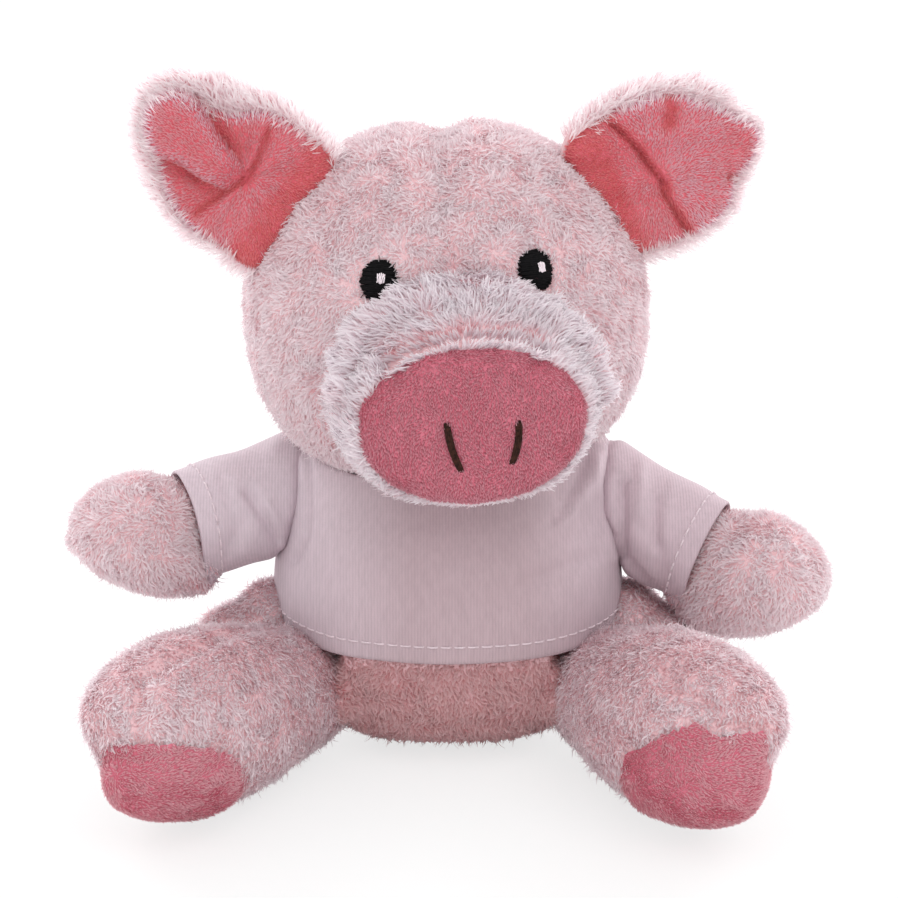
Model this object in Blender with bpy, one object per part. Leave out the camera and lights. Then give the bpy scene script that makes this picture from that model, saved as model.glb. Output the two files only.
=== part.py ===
"""A sitting plush pig in a short T-shirt, as the pieces that are sewn together to make it.

The pig faces -Y and sits on the plane z = 0, with the origin in the middle of its seat.
Left and right are the pig's own, so its left arm is at +X.
Every stuffed piece is a skin, as thick as its backing and pile together, around a filling.
The head, the arms, the legs, the ears and the tail each hang from an empty on their joint.
"""

import math

import bmesh
import bpy
import numpy as np
from mathutils import Matrix, Vector

# Gaps and cloth
GAP = 0.0003
JOINT_GAP = 0.0004
SOCKET_GAP = 0.0006
PLUSH_THICKNESS = 0.0045
VELOUR_THICKNESS = 0.0013
JERSEY_THICKNESS = 0.0010
SEAT_FLAT_DEPTH = 0.0005
CUT_OVERRUN = 0.02

# Body
BODY_WIDTH = 0.078
BODY_DEPTH = 0.074
BODY_WAIST_HEIGHT = 0.030
BODY_SHOULDER_RISE = 0.0265
BODY_CENTRE_Y = -0.001
NECK_PIVOT_DEPTH = 0.0140
NECK_PIVOT_Y = 0.002
NECK_RADIUS = 0.024
BODY_TOP_POWER = 2.8
BODY_BOTTOM_POWER = 2.9

# Shirt
SHIRT_HEM_RISE = 0.0030
SHIRT_HEM_TILT = math.radians(7.5)
SHIRT_FLARE = 0.0006
SHIRT_FOLD_HEIGHT = 0.0006
SHIRT_FOLDS = 7
SHIRT_COLLAR_RADIUS = 0.0222
SIDE_SEAM_Y = -0.002
NECKBAND_HEIGHT = 0.0022
NECKBAND_WIDTH = 0.0016

# Head
HEAD_WIDTH = 0.093
HEAD_DEPTH = 0.080
HEAD_CROWN = 0.0405
HEAD_JAW = 0.0410
HEAD_SIDE_SHIFT = -0.0008
HEAD_CENTRE_Y = -0.0010
HEAD_LIFT = 0.0035
HEAD_YAW = math.radians(5.5)
HEAD_ROLL = math.radians(-2.5)
HEAD_TOP_POWER = 2.0
HEAD_JAW_POWER = 2.5
CROWN_DENT_DEPTH = 0.0016
CROWN_DENT_WIDTH = 0.0060

# Muzzle and nose
MUZZLE_ROOT_WIDTH = 0.063
MUZZLE_ROOT_HEIGHT = 0.050
MUZZLE_TIP_WIDTH = 0.053
MUZZLE_TIP_HEIGHT = 0.0400
MUZZLE_REACH = 0.0625
MUZZLE_DROP = 0.0122
MUZZLE_START = 0.018
MUZZLE_POWER = 6.0
NOSE_WIDTH = 0.0465
NOSE_HEIGHT = 0.0335
NOSTRIL_LENGTH = 0.0098
NOSTRIL_WIDTH = 0.0014
NOSTRIL_SPACING = 0.0134
NOSTRIL_LEAN = math.radians(13.0)
NOSTRIL_DROP = 0.0016
NOSTRIL_SHIFT = 0.0012

# Eyes
EYE_SPACING = 0.0352
EYE_RISE = 0.0135
EYE_WIDTH = 0.0066
EYE_HEIGHT = 0.0076
EYE_THICKNESS = 0.0020
EYE_SETBACK = 0.0015
EYE_SOCKET_MARGIN = 0.0013
HIGHLIGHT_WIDTH = 0.0013
HIGHLIGHT_HEIGHT = 0.0022
HIGHLIGHT_THICKNESS = 0.0008

# Ears
EAR_LENGTH = {"left": 0.0460, "right": 0.0470}
EAR_WIDTH = {"left": 0.0420, "right": 0.0440}
EAR_FUR_THICKNESS = 0.0034
EAR_ROOT_THICKNESS = 0.0012
EAR_ROOT_TAPER = 0.0100
EAR_FRINGE = 0.0040
EAR_CUP_DEPTH = 0.0050
EAR_ROOT_INSET = 0.0103
EAR_ROOT_DROP = 0.0160
EAR_ELEVATION = {"left": math.radians(20.0), "right": math.radians(40.0)}
EAR_TURN = math.radians(10.0)
EAR_SINK = 0.0070

# Arms and sleeves
SHOULDER_MARGIN = 0.0020
SHOULDER_Y = -0.004
SHOULDER_DROP = {"left": 0.0055, "right": 0.0025}
SLEEVE_RADIUS = 0.0138
SLEEVE_LENGTH = 0.0200
SLEEVE_CUFF_RADIUS = 0.0124
ARM_LENGTH = {"left": 0.0500, "right": 0.0482}
HAND_RADIUS = 0.0195
ARM_SWEEP = math.radians(22.0)
ARM_DROOP = {"left": math.radians(18.0), "right": math.radians(7.0)}

ARM_SWINGS = (math.radians(-10.0), 0.0, math.radians(10.0), math.radians(20.0))

# Legs and soles
HIP_INSET = 0.0030
HIP_SETBACK = 0.0120
HIP_HEIGHT = 0.0165
HIP_RADIUS = 0.0155
LEG_LENGTH = 0.0660
FOOT_RADIUS = 0.0235
LEG_SPLAY = {"left": math.radians(24.0), "right": math.radians(33.0)}
SOLE_WIDTH = 0.0370
SOLE_HEIGHT = 0.0280
SOLE_TURN_IN = {"left": math.radians(9.0), "right": math.radians(9.0)}
SOLE_DOWN = {"left": math.radians(27.0), "right": math.radians(32.0)}
LEG_LIFTS = (0.0, math.radians(8.0), math.radians(16.0))

# Tail
TAIL_RADIUS = 0.0019
TAIL_CURL_RADIUS = 0.0048
TAIL_HEIGHT = 0.0180
TAIL_STALK = 0.0092
TAIL_PITCH = 0.0052
TAIL_START = math.radians(-90.0)
TAIL_SWEEP = math.radians(400.0)
TAIL_STEPS = 10
TAIL_ROOM = 0.0006

# Profile tables, as shares of the length and of the root radius to the largest radius
ARM_PROFILE_SHARES = ((0.0, 0.0), (0.2, -0.18), (0.42, -0.28), (0.57, 0.75), (0.75, 1.0), (1.0, 1.0))
LEG_PROFILE_SHARES = ((0.0, 0.0), (0.20, 0.30), (0.45, 0.80), (0.70, 1.0), (1.0, 1.0))

SMOOTHING_SHARE = 0.04
TINY_SHARE = 0.0001
ROOT_EASE_SHARE = 0.15
FLATTEN_EASE_SHARE = 0.5
ARM_FLATNESS_SHARE = 0.95
MOUTH_SHARE = 0.9
SWEEP_ROOT_SHARE = 0.5
SKIRT_SHARE = 0.55
SLEEVE_MOUTH_SHARE = 0.64
SLEEVE_REACH_SHARE = 1.7

# Mesh fineness
BIG_FORM_FACETS = (24, 14)
FORM_FACETS = (18, 12)
HOLLOW_FACETS = (14, 10)
EAR_FACETS = (20, 8)
SMALL_FACETS = (10, 6)
BALL_FACETS = (20, 12)
PROFILE_END_POWER = 2.7

# Colours and finishes
PLUSH_PINK = (0.78, 0.55, 0.57, 1.0)
VELOUR_PINK = (0.60, 0.13, 0.23, 1.0)
LINING_PINK = (0.70, 0.15, 0.20, 1.0)
JERSEY_WHITE = (0.74, 0.68, 0.76, 1.0)
THREAD_BLACK = (0.006, 0.006, 0.007, 1.0)
THREAD_WHITE = (0.80, 0.80, 0.82, 1.0)
THREAD_BROWN = (0.035, 0.012, 0.008, 1.0)
FIBRE_WHITE = (0.80, 0.80, 0.78, 1.0)
CLOTH_ROUGHNESS = 0.9
THREAD_ROUGHNESS = 0.5

SIDES = {"left": 1, "right": -1}


def clear_scene():
    for item in list(bpy.data.objects):
        bpy.data.objects.remove(item, do_unlink=True)


def new_collection(name):
    made = bpy.data.collections.new(name)
    bpy.context.scene.collection.children.link(made)
    return made


clear_scene()
PIG = new_collection("plush_pig")
CUTTERS = new_collection("cutters")


def material(name, colour, roughness):
    made = bpy.data.materials.new(name)
    made.use_nodes = True
    shader = made.node_tree.nodes["Principled BSDF"]
    shader.inputs["Base Color"].default_value = colour
    shader.inputs["Roughness"].default_value = roughness
    shader.inputs["Metallic"].default_value = 0.0
    made.diffuse_color = colour
    return made


def finish(item, colour, roughness=CLOTH_ROUGHNESS):
    """Gives a piece its own material and smooth faces."""
    item.data.materials.clear()
    item.data.materials.append(material(item.name + "_cloth", colour, roughness))
    item.data.shade_smooth()
    return item


def link(item, parent=None, cutter=False):
    (CUTTERS if cutter else PIG).objects.link(item)
    item.parent = parent
    if cutter:
        item.hide_render = True
        item.display_type = "WIRE"
    return item


def empty(name, location, rotation=None, parent=None):
    made = bpy.data.objects.new(name, None)
    PIG.objects.link(made)
    made.empty_display_size = PLUSH_THICKNESS
    made.parent = parent
    made.location = location
    if rotation is not None:
        made.rotation_mode = "QUATERNION"
        made.rotation_quaternion = rotation
    return made


def shaped_ball(name, facets, place, parent=None, cutter=False):
    """A unit sphere whose points are moved by a function, which gets and gives rows of x, y, z."""
    sphere = bmesh.new()
    bmesh.ops.create_uvsphere(sphere, u_segments=facets[0], v_segments=facets[1], radius=1.0)
    bmesh.ops.triangulate(sphere, faces=sphere.faces)
    points = place(np.array([vertex.co for vertex in sphere.verts]))
    for vertex, point in zip(sphere.verts, points):
        vertex.co = point
    mesh = bpy.data.meshes.new(name)
    sphere.to_mesh(mesh)
    sphere.free()
    return link(bpy.data.objects.new(name, mesh), parent, cutter)


def shaped_drum(name, half_width, half_height, depth, parent, cutter=False, segments=24):
    """An elliptical drum along local Y, from local y = 0 to y = -depth."""
    drum = bmesh.new()
    turn = Matrix.Rotation(math.radians(90.0), 4, "X")
    grow = Matrix.Diagonal((half_width, half_height, depth, 1.0))
    lift = Matrix.Translation((0.0, 0.0, 0.5))
    bmesh.ops.create_cone(
        drum, cap_ends=True, segments=segments, radius1=1.0, radius2=1.0, depth=1.0, matrix=turn @ grow @ lift
    )
    mesh = bpy.data.meshes.new(name)
    drum.to_mesh(mesh)
    drum.free()
    return link(bpy.data.objects.new(name, mesh), parent, cutter)


def block(name, low, high, parent=None, rotation=None, location=(0.0, 0.0, 0.0)):
    """A box between two corners, used as a cutter."""
    box = bmesh.new()
    middle = [(a + b) / 2 for a, b in zip(low, high)]
    sides = [b - a for a, b in zip(low, high)]
    bmesh.ops.create_cube(
        box, size=1.0, matrix=Matrix.Translation(middle) @ Matrix.Diagonal((*sides, 1.0))
    )
    mesh = bpy.data.meshes.new(name)
    box.to_mesh(mesh)
    box.free()
    made = link(bpy.data.objects.new(name, mesh), parent, cutter=True)
    made.location = location
    if rotation is not None:
        made.rotation_euler = rotation
    return made


def combine(item, other, operation):
    change = item.modifiers.new(other.name, "BOOLEAN")
    change.operation = operation
    change.solver = "EXACT"
    change.object = other
    return item


def cut(item, *others):
    for other in others:
        combine(item, other, "DIFFERENCE")
    return item


def ball_cutter(name, radius, centre, parent=None):
    made = shaped_ball(name, BALL_FACETS, lambda unit: unit * radius, parent, cutter=True)
    made.location = centre
    return made


def eased(values):
    return values * values * (3.0 - 2.0 * values)


def egg(half_width, half_depth, top, bottom, top_power, bottom_power):
    """A rounded form around its own centre, fuller below than above."""

    def place(unit):
        blend = eased(np.clip(0.5 - unit[:, 2], 0.0, 1.0))
        power = top_power + (bottom_power - top_power) * blend
        lengths = (np.abs(unit) ** power[:, None]).sum(axis=1) ** (-1.0 / power)
        rise = np.where(unit[:, 2] > 0.0, top, bottom)
        reach = np.stack([np.full(len(unit), half_width), np.full(len(unit), half_depth), rise], axis=1)
        return unit * lengths[:, None] * reach

    return place


def limb(root_radius, largest_radius, length, profile_shares, inset, flatten=1.0):
    """A limb along local +Z: a true half ball around the joint, then a swelling stump with a round end."""
    stations, swells = np.array(profile_shares).T
    root = root_radius - inset
    reach = length - inset

    def place(unit):
        rise = unit[:, 2]
        flat = np.hypot(unit[:, 0], unit[:, 1])
        spin = unit[:, :2] / np.maximum(flat, TINY_SHARE)[:, None]
        along = np.clip(rise, 0.0, 1.0) ** (2.0 / PROFILE_END_POWER)
        swell = np.interp(along, stations, swells)
        near = np.interp(along - SMOOTHING_SHARE, stations, swells)
        far = np.interp(along + SMOOTHING_SHARE, stations, swells)
        swell = (near + 2.0 * swell + far) / 4.0
        swell = swell * eased(np.clip(along / ROOT_EASE_SHARE, 0.0, 1.0))
        full = root + (largest_radius - root_radius) * swell
        outer = full * flat ** (2.0 / PROFILE_END_POWER)
        outer = np.where(rise > 0.0, outer, root * flat)
        height = np.where(rise > 0.0, reach * along, root * rise)
        squash = 1.0 + (flatten - 1.0) * eased(np.clip(along / FLATTEN_EASE_SHARE, 0.0, 1.0))
        return np.stack([spin[:, 0] * outer, spin[:, 1] * outer * squash, height], axis=1)

    return place


def aim(direction, up=(0.0, 0.0, 1.0)):
    """A rotation whose +Z runs along the direction and whose +Y leans as far as it can to up."""
    forward = Vector(direction).normalized()
    across = Vector(up).cross(forward).normalized()
    upward = forward.cross(across)
    return Matrix((across, upward, forward)).transposed().to_quaternion()


# Head form
def head_form(inset):
    rounded = egg(
        HEAD_WIDTH / 2 - inset,
        HEAD_DEPTH / 2 - inset,
        HEAD_CROWN - inset,
        HEAD_JAW - inset,
        HEAD_TOP_POWER,
        HEAD_JAW_POWER,
    )

    def place(unit):
        points = rounded(unit)
        above = eased(np.clip(unit[:, 2], 0.0, 1.0))
        dent = CROWN_DENT_DEPTH * np.exp(-((points[:, 0] / CROWN_DENT_WIDTH) ** 2)) * above
        points[:, 2] -= dent
        return points

    return place


def head_front(x, z):
    """The head surface's local y at a local x and z above the middle."""
    power = HEAD_TOP_POWER
    rest = 1.0 - abs(2 * x / HEAD_WIDTH) ** power - abs(z / HEAD_CROWN) ** power
    return -HEAD_DEPTH / 2 * rest ** (1.0 / power)


def head_slope(x, y, z):
    """The head surface's outward direction at a local point."""
    return Vector((x / (HEAD_WIDTH / 2) ** 2, y / (HEAD_DEPTH / 2) ** 2, z / HEAD_CROWN**2)).normalized()


# Muzzle form
def muzzle_form(inset):
    """The muzzle in the head's frame, from inside the head to the front of the nose."""
    length = MUZZLE_REACH - MUZZLE_START - inset

    def place(unit):
        rise = np.clip(-unit[:, 1], 0.0, 1.0)
        flat = np.hypot(unit[:, 0], unit[:, 2])
        spin = unit[:, [0, 2]] / np.maximum(flat, TINY_SHARE)[:, None]
        along = rise ** (2.0 / MUZZLE_POWER)
        round_off = np.where(unit[:, 1] < 0.0, flat ** (2.0 / MUZZLE_POWER), flat)
        taper = eased(along)
        wide = (MUZZLE_ROOT_WIDTH + (MUZZLE_TIP_WIDTH - MUZZLE_ROOT_WIDTH) * taper) / 2 - inset
        tall = (MUZZLE_ROOT_HEIGHT + (MUZZLE_TIP_HEIGHT - MUZZLE_ROOT_HEIGHT) * taper) / 2 - inset
        back = np.where(unit[:, 1] < 0.0, 0.0, unit[:, 1] * MUZZLE_START / 2)
        return np.stack(
            [
                spin[:, 0] * round_off * wide,
                back - MUZZLE_START - length * along,
                spin[:, 1] * round_off * tall - MUZZLE_DROP,
            ],
            axis=1,
        )

    return place


# Body form
def body_form(inset, folds=0.0):
    rounded = egg(
        BODY_WIDTH / 2 - inset,
        BODY_DEPTH / 2 - inset,
        BODY_SHOULDER_RISE - inset,
        BODY_WAIST_HEIGHT + SEAT_FLAT_DEPTH - inset,
        BODY_TOP_POWER,
        BODY_BOTTOM_POWER,
    )

    def place(unit):
        points = rounded(unit)
        angle = np.arctan2(unit[:, 0], -unit[:, 1])
        skirt = eased(np.clip(SKIRT_SHARE - unit[:, 2], 0.0, 1.0))
        wave = SHIRT_FLARE + SHIRT_FOLD_HEIGHT * np.cos(SHIRT_FOLDS * angle)
        grow = folds * skirt * wave
        flat = np.maximum(np.hypot(points[:, 0], points[:, 1]), GAP)
        points[:, 0] *= 1.0 + grow / flat
        points[:, 1] *= 1.0 + grow / flat
        return points

    return place


def body_cutter(name, inset):
    """The body with its neck, as one cutter."""
    made = shaped_ball(name, HOLLOW_FACETS, body_form(inset), cutter=True)
    made.location = (0.0, BODY_CENTRE_Y, BODY_WAIST_HEIGHT)
    knob = ball_cutter(name + "_neck", NECK_RADIUS - inset, NECK_PIVOT)
    return combine(made, knob, "UNION")


# Joint empties
BODY_TOP = BODY_WAIST_HEIGHT + BODY_SHOULDER_RISE
NECK_PIVOT = (0.0, NECK_PIVOT_Y, BODY_TOP - NECK_PIVOT_DEPTH)
HEAD_CENTRE = (HEAD_SIDE_SHIFT, HEAD_CENTRE_Y, BODY_TOP + HEAD_LIFT + HEAD_JAW)
NECK = empty("neck_joint", NECK_PIVOT)
HEAD_TURN = (Matrix.Rotation(HEAD_YAW, 3, "Z") @ Matrix.Rotation(HEAD_ROLL, 3, "Y")).to_quaternion()
HEAD = empty("head_frame", Vector(HEAD_CENTRE) - Vector(NECK_PIVOT), HEAD_TURN, NECK)


def shoulder(side):
    """Where an arm's joint is, and the way the arm points."""
    sign = SIDES[side]
    droop = ARM_DROOP[side]
    out = BODY_WIDTH / 2 + SHOULDER_MARGIN
    place = Vector((sign * out, SHOULDER_Y, BODY_TOP - SHOULDER_DROP[side]))
    level = math.cos(droop)
    way = Vector((sign * math.cos(ARM_SWEEP) * level, -math.sin(ARM_SWEEP) * level, -math.sin(droop)))
    return place, way


def hip(side):
    """Where a leg's joint is, and the way the leg points."""
    sign = SIDES[side]
    place = Vector((sign * (BODY_WIDTH / 2 - HIP_INSET), HIP_SETBACK - BODY_DEPTH / 2, HIP_HEIGHT))
    rise = FOOT_RADIUS - SEAT_FLAT_DEPTH - HIP_HEIGHT
    level = LEG_LENGTH - FOOT_RADIUS
    splay = LEG_SPLAY[side]
    way = Vector((sign * math.sin(splay) * level, -math.cos(splay) * level, rise)).normalized()
    return place, way


def floor_cutter():
    reach = BODY_WIDTH * 2
    return block("floor_cutter", (-reach, -reach, -CUT_OVERRUN), (reach, reach, 0.0))


FLOOR = floor_cutter()


def sleeve_tube(radius):
    """A tube along local +Z with a half ball around the joint at its inner end."""

    def place(unit):
        rise = unit[:, 2]
        flat = np.hypot(unit[:, 0], unit[:, 1])
        spin = unit[:, :2] / np.maximum(flat, TINY_SHARE)[:, None]
        along = eased(np.clip(rise, 0.0, 1.0))
        outer = np.where(rise > 0.0, radius + (SLEEVE_CUFF_RADIUS - SLEEVE_RADIUS) * along, radius * flat)
        outer = np.where(flat < TINY_SHARE, 0.0, outer)
        height = np.where(rise > 0.0, SLEEVE_LENGTH * SLEEVE_REACH_SHARE * along, radius * rise)
        return np.stack([spin[:, 0] * outer, spin[:, 1] * outer, height], axis=1)

    return place


def sweep_cutters(name, form, place, way, axis, angles):
    """Copies of a limb's form turned about its joint, which clear the way that it moves."""

    def shrunk_root(unit):
        points = form(unit)
        points[unit[:, 2] < -TINY_SHARE] *= SWEEP_ROOT_SHARE
        return points

    made = []
    for number, angle in enumerate(angles):
        turn = Matrix.Rotation(angle, 3, Vector(axis)).to_quaternion() @ aim(way)
        frame = empty(name + "_turn_" + str(number), place, turn)
        made.append(shaped_ball(name + "_" + str(number), FORM_FACETS, shrunk_root, frame, cutter=True))
    return made


def limb_cutters():
    """What the arms and legs need clear in the body and the shirt, at rest and as they move."""
    made = []
    for side, sign in SIDES.items():
        place, way = shoulder(side)
        made.append(ball_cutter("armhole_" + side, SLEEVE_RADIUS + SOCKET_GAP, place))
        tube = sleeve_tube(SLEEVE_RADIUS + JOINT_GAP)
        made += sweep_cutters("arm_way_" + side, tube, place, way, (0.0, -sign, 0.0), ARM_SWINGS)
        place, way = hip(side)
        made.append(ball_cutter("leghole_" + side, HIP_RADIUS + SOCKET_GAP, place))
        leg = limb(HIP_RADIUS, FOOT_RADIUS, LEG_LENGTH, LEG_PROFILE_SHARES, -JOINT_GAP)
        made += sweep_cutters("leg_way_" + side, leg, place, way, (-1.0, 0.0, 0.0), LEG_LIFTS)
    return made


LIMB_CUTTERS = limb_cutters()


def make_body():
    skin = shaped_ball("body_skin", BIG_FORM_FACETS, body_form(0.0))
    skin.location = (0.0, BODY_CENTRE_Y, BODY_WAIST_HEIGHT)
    combine(skin, ball_cutter("neck_knob", NECK_RADIUS, NECK_PIVOT), "UNION")
    cut(skin, FLOOR, *LIMB_CUTTERS, body_cutter("body_hollow", PLUSH_THICKNESS))
    finish(skin, PLUSH_PINK)
    filling = shaped_ball("body_filling", HOLLOW_FACETS, body_form(PLUSH_THICKNESS + GAP))
    filling.location = skin.location
    knob = ball_cutter("filling_knob", NECK_RADIUS - PLUSH_THICKNESS - GAP, NECK_PIVOT)
    combine(filling, knob, "UNION")
    cut(filling, *LIMB_CUTTERS)
    finish(filling, FIBRE_WHITE)


def make_shirt():
    """The shirt's two panels, the sleeves excepted, and its neckband."""
    centre = (0.0, BODY_CENTRE_Y, BODY_WAIST_HEIGHT)
    inner = shaped_ball("shirt_inside", BIG_FORM_FACETS, body_form(-GAP, folds=1.0), cutter=True)
    inner.location = centre
    reach = BODY_WIDTH
    hem = block(
        "hem_cutter",
        (-reach, -reach, -reach),
        (reach, reach, 0.0),
        rotation=(SHIRT_HEM_TILT, 0.0, 0.0),
        location=(0.0, 0.0, BODY_WAIST_HEIGHT + SHIRT_HEM_RISE),
    )
    collar = shaped_drum(
        "collar_cutter", SHIRT_COLLAR_RADIUS, SHIRT_COLLAR_RADIUS, BODY_WIDTH, None, cutter=True
    )
    collar.rotation_euler = (math.radians(-90.0), 0.0, 0.0)
    collar.location = NECK_PIVOT
    knob = ball_cutter("collar_knob", NECK_RADIUS + GAP, NECK_PIVOT)
    halves = {
        "shirt_front": block(
            "front_cutter", (-reach, SIDE_SEAM_Y - GAP / 2, -reach), (reach, reach, reach * 2)
        ),
        "shirt_back": block(
            "back_cutter", (-reach, -reach, -reach), (reach, SIDE_SEAM_Y + GAP / 2, reach * 2)
        ),
    }
    for name, half in halves.items():
        panel = shaped_ball(name, BIG_FORM_FACETS, body_form(-GAP - JERSEY_THICKNESS, folds=1.0))
        panel.location = centre
        cut(panel, hem, collar, half, *LIMB_CUTTERS, knob, inner)
        finish(panel, JERSEY_WHITE)
    band_inner = SHIRT_COLLAR_RADIUS - NECKBAND_WIDTH - GAP
    ring = shaped_drum(
        "neckband", band_inner + NECKBAND_WIDTH, band_inner + NECKBAND_WIDTH, NECKBAND_HEIGHT, None
    )
    ring.rotation_euler = (math.radians(-90.0), 0.0, 0.0)
    seat = math.sqrt((NECK_RADIUS + GAP) ** 2 - band_inner**2)
    ring.location = (NECK_PIVOT[0], NECK_PIVOT[1], NECK_PIVOT[2] + seat - NECKBAND_HEIGHT / 2)
    hole = shaped_drum("neckband_hole", band_inner, band_inner, NECKBAND_HEIGHT * 3, None, cutter=True)
    hole.rotation_euler = ring.rotation_euler
    hole.location = (NECK_PIVOT[0], NECK_PIVOT[1], ring.location.z - NECKBAND_HEIGHT)
    cut(ring, hole, knob, inner)
    finish(ring, JERSEY_WHITE)


def make_head():
    skin = shaped_ball("head_skin", BIG_FORM_FACETS, head_form(0.0), HEAD)
    hollow = shaped_ball("head_hollow", HOLLOW_FACETS, head_form(PLUSH_THICKNESS), HEAD, cutter=True)
    dish = ball_cutter("neck_dish", NECK_RADIUS + JOINT_GAP, (0.0, 0.0, 0.0), NECK)
    cut(skin, hollow, dish)
    filling = shaped_ball("head_filling", HOLLOW_FACETS, head_form(PLUSH_THICKNESS + GAP), HEAD)
    cut(filling, dish)
    finish(filling, FIBRE_WHITE)
    return skin


def make_muzzle():
    clear_head = shaped_ball("head_seat", BIG_FORM_FACETS, head_form(-GAP), HEAD, cutter=True)
    skin = shaped_ball("muzzle_skin", FORM_FACETS, muzzle_form(0.0), HEAD)
    hollow = shaped_ball("muzzle_hollow", HOLLOW_FACETS, muzzle_form(PLUSH_THICKNESS), HEAD, cutter=True)
    window = empty("nose_frame", (0.0, -MUZZLE_START, -MUZZLE_DROP), None, HEAD)
    pocket = shaped_drum(
        "nose_pocket", NOSE_WIDTH / 2 + GAP, NOSE_HEIGHT / 2 + GAP, MUZZLE_REACH, window, cutter=True
    )
    cut(skin, hollow, clear_head, pocket)
    finish(skin, PLUSH_PINK)
    filling_inset = PLUSH_THICKNESS + GAP
    filling = shaped_ball("muzzle_filling", HOLLOW_FACETS, muzzle_form(filling_inset), HEAD)
    cut(filling, clear_head)
    finish(filling, FIBRE_WHITE)
    pad = shaped_drum("nose_pad", NOSE_WIDTH / 2, NOSE_HEIGHT / 2, MUZZLE_REACH, window)
    face = shaped_ball("nose_face", FORM_FACETS, muzzle_form(0.0), HEAD, cutter=True)
    back = shaped_ball("nose_back", FORM_FACETS, muzzle_form(PLUSH_THICKNESS - GAP), HEAD, cutter=True)
    combine(pad, face, "INTERSECT")
    cut(pad, back)
    finish(pad, VELOUR_PINK)
    for side, sign in SIDES.items():
        place = empty(
            "nostril_frame_" + side,
            (NOSTRIL_SHIFT + sign * NOSTRIL_SPACING / 2, -MUZZLE_REACH - GAP - NOSTRIL_WIDTH / 2, -MUZZLE_DROP - NOSTRIL_DROP),
            Matrix.Rotation(sign * NOSTRIL_LEAN, 3, "Y").to_quaternion(),
            HEAD,
        )
        size = np.array([NOSTRIL_WIDTH / 2, NOSTRIL_WIDTH / 2, NOSTRIL_LENGTH / 2])
        stitch = shaped_ball("nostril_stitch_" + side, SMALL_FACETS, lambda unit: unit * size, place)
        finish(stitch, THREAD_BROWN, THREAD_ROUGHNESS)


def make_eyes(head_skin):
    for side, sign in SIDES.items():
        x = sign * EYE_SPACING / 2
        y = head_front(x, EYE_RISE)
        outward = head_slope(x, y, EYE_RISE)
        frame = empty("eye_frame_" + side, (x, y, EYE_RISE), aim(outward), HEAD)
        half = np.array([EYE_WIDTH / 2, EYE_HEIGHT / 2, EYE_THICKNESS / 2])
        margin = EYE_SOCKET_MARGIN
        room = half + np.array([margin, margin, EYE_SETBACK + GAP])
        socket = shaped_ball("eye_socket_" + side, SMALL_FACETS, lambda unit: unit * room, frame, cutter=True)
        cut(head_skin, socket)
        eye = shaped_ball("eye_" + side, SMALL_FACETS, lambda unit: unit * half, frame)
        eye.location = (0.0, 0.0, -EYE_SETBACK)
        finish(eye, THREAD_BLACK, THREAD_ROUGHNESS)
        gleam = np.array([HIGHLIGHT_WIDTH, HIGHLIGHT_HEIGHT, HIGHLIGHT_THICKNESS]) / 2
        glint = shaped_ball("eye_highlight_" + side, SMALL_FACETS, lambda unit: unit * gleam, frame)
        glint.location = (
            -EYE_WIDTH / 4 * sign,
            0.0,
            EYE_THICKNESS / 2 - EYE_SETBACK + GAP + HIGHLIGHT_THICKNESS / 2,
        )
        finish(glint, THREAD_WHITE, THREAD_ROUGHNESS)


def ear_panel(side, near, far, margin):
    """A flat round panel in the ear's frame: +Z outwards, +X across, +Y to the front, between two depths."""
    half_length = EAR_LENGTH[side] / 2
    half_width = EAR_WIDTH[side] / 2

    def place(unit):
        rim = np.hypot(unit[:, 0], unit[:, 1])
        fill = np.sqrt(np.clip(rim, 0.0, 1.0))
        spin = unit[:, :2] / np.maximum(rim, TINY_SHARE)[:, None]
        across = spin[:, 0] * fill * (half_width - margin)
        out = half_length + spin[:, 1] * fill * (half_length - margin)
        edge = (1.0 - fill**4) ** 0.5
        swell = EAR_ROOT_THICKNESS / (EAR_FUR_THICKNESS + VELOUR_THICKNESS)
        thick = swell + (1.0 - swell) * eased(np.clip((out - EAR_SINK) / EAR_ROOT_TAPER, 0.0, 1.0))
        middle = (near + far) / 2
        depth = (middle + np.sign(unit[:, 2]) * edge * (far - near) / 2) * thick
        cup = EAR_CUP_DEPTH * (across / half_width) ** 2
        return np.stack([across, depth + cup * eased(np.clip(out / (2 * half_length), 0.0, 1.0)), out], axis=1)

    return place


def ear_frame(side):
    """Where an ear's joint is, on the head's surface, and its frame's rotation in the head's frame."""
    sign = SIDES[side]
    x = HEAD_WIDTH / 2 - EAR_ROOT_INSET
    rise = HEAD_CROWN - EAR_ROOT_DROP
    y = head_front(x, rise)
    lift = EAR_ELEVATION[side]
    out = Vector((sign * math.cos(lift), 0.0, math.sin(lift)))
    turned = Matrix.Rotation(sign * EAR_TURN, 3, "Z") @ out
    front = Vector((0.0, -1.0, 0.0)) - turned * turned.dot(Vector((0.0, -1.0, 0.0)))
    return Vector((sign * x, y, rise)), aim(turned, front)


def make_ears():
    seat = shaped_ball("ear_seat", BIG_FORM_FACETS, head_form(-GAP), HEAD, cutter=True)
    for side in SIDES:
        place, turn = ear_frame(side)
        joint = empty("ear_joint_" + side, place, turn, HEAD)
        sunk = empty("ear_frame_" + side, (0.0, 0.0, -EAR_SINK), None, joint)
        fur = shaped_ball(
            "ear_fur_" + side, EAR_FACETS, ear_panel(side, -EAR_FUR_THICKNESS, -GAP / 2, 0.0), sunk
        )
        cut(fur, seat)
        finish(fur, PLUSH_PINK)
        lining = shaped_ball(
            "ear_lining_" + side, EAR_FACETS, ear_panel(side, GAP / 2, VELOUR_THICKNESS, EAR_FRINGE), sunk
        )
        cut(lining, seat)
        finish(lining, LINING_PINK)


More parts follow.
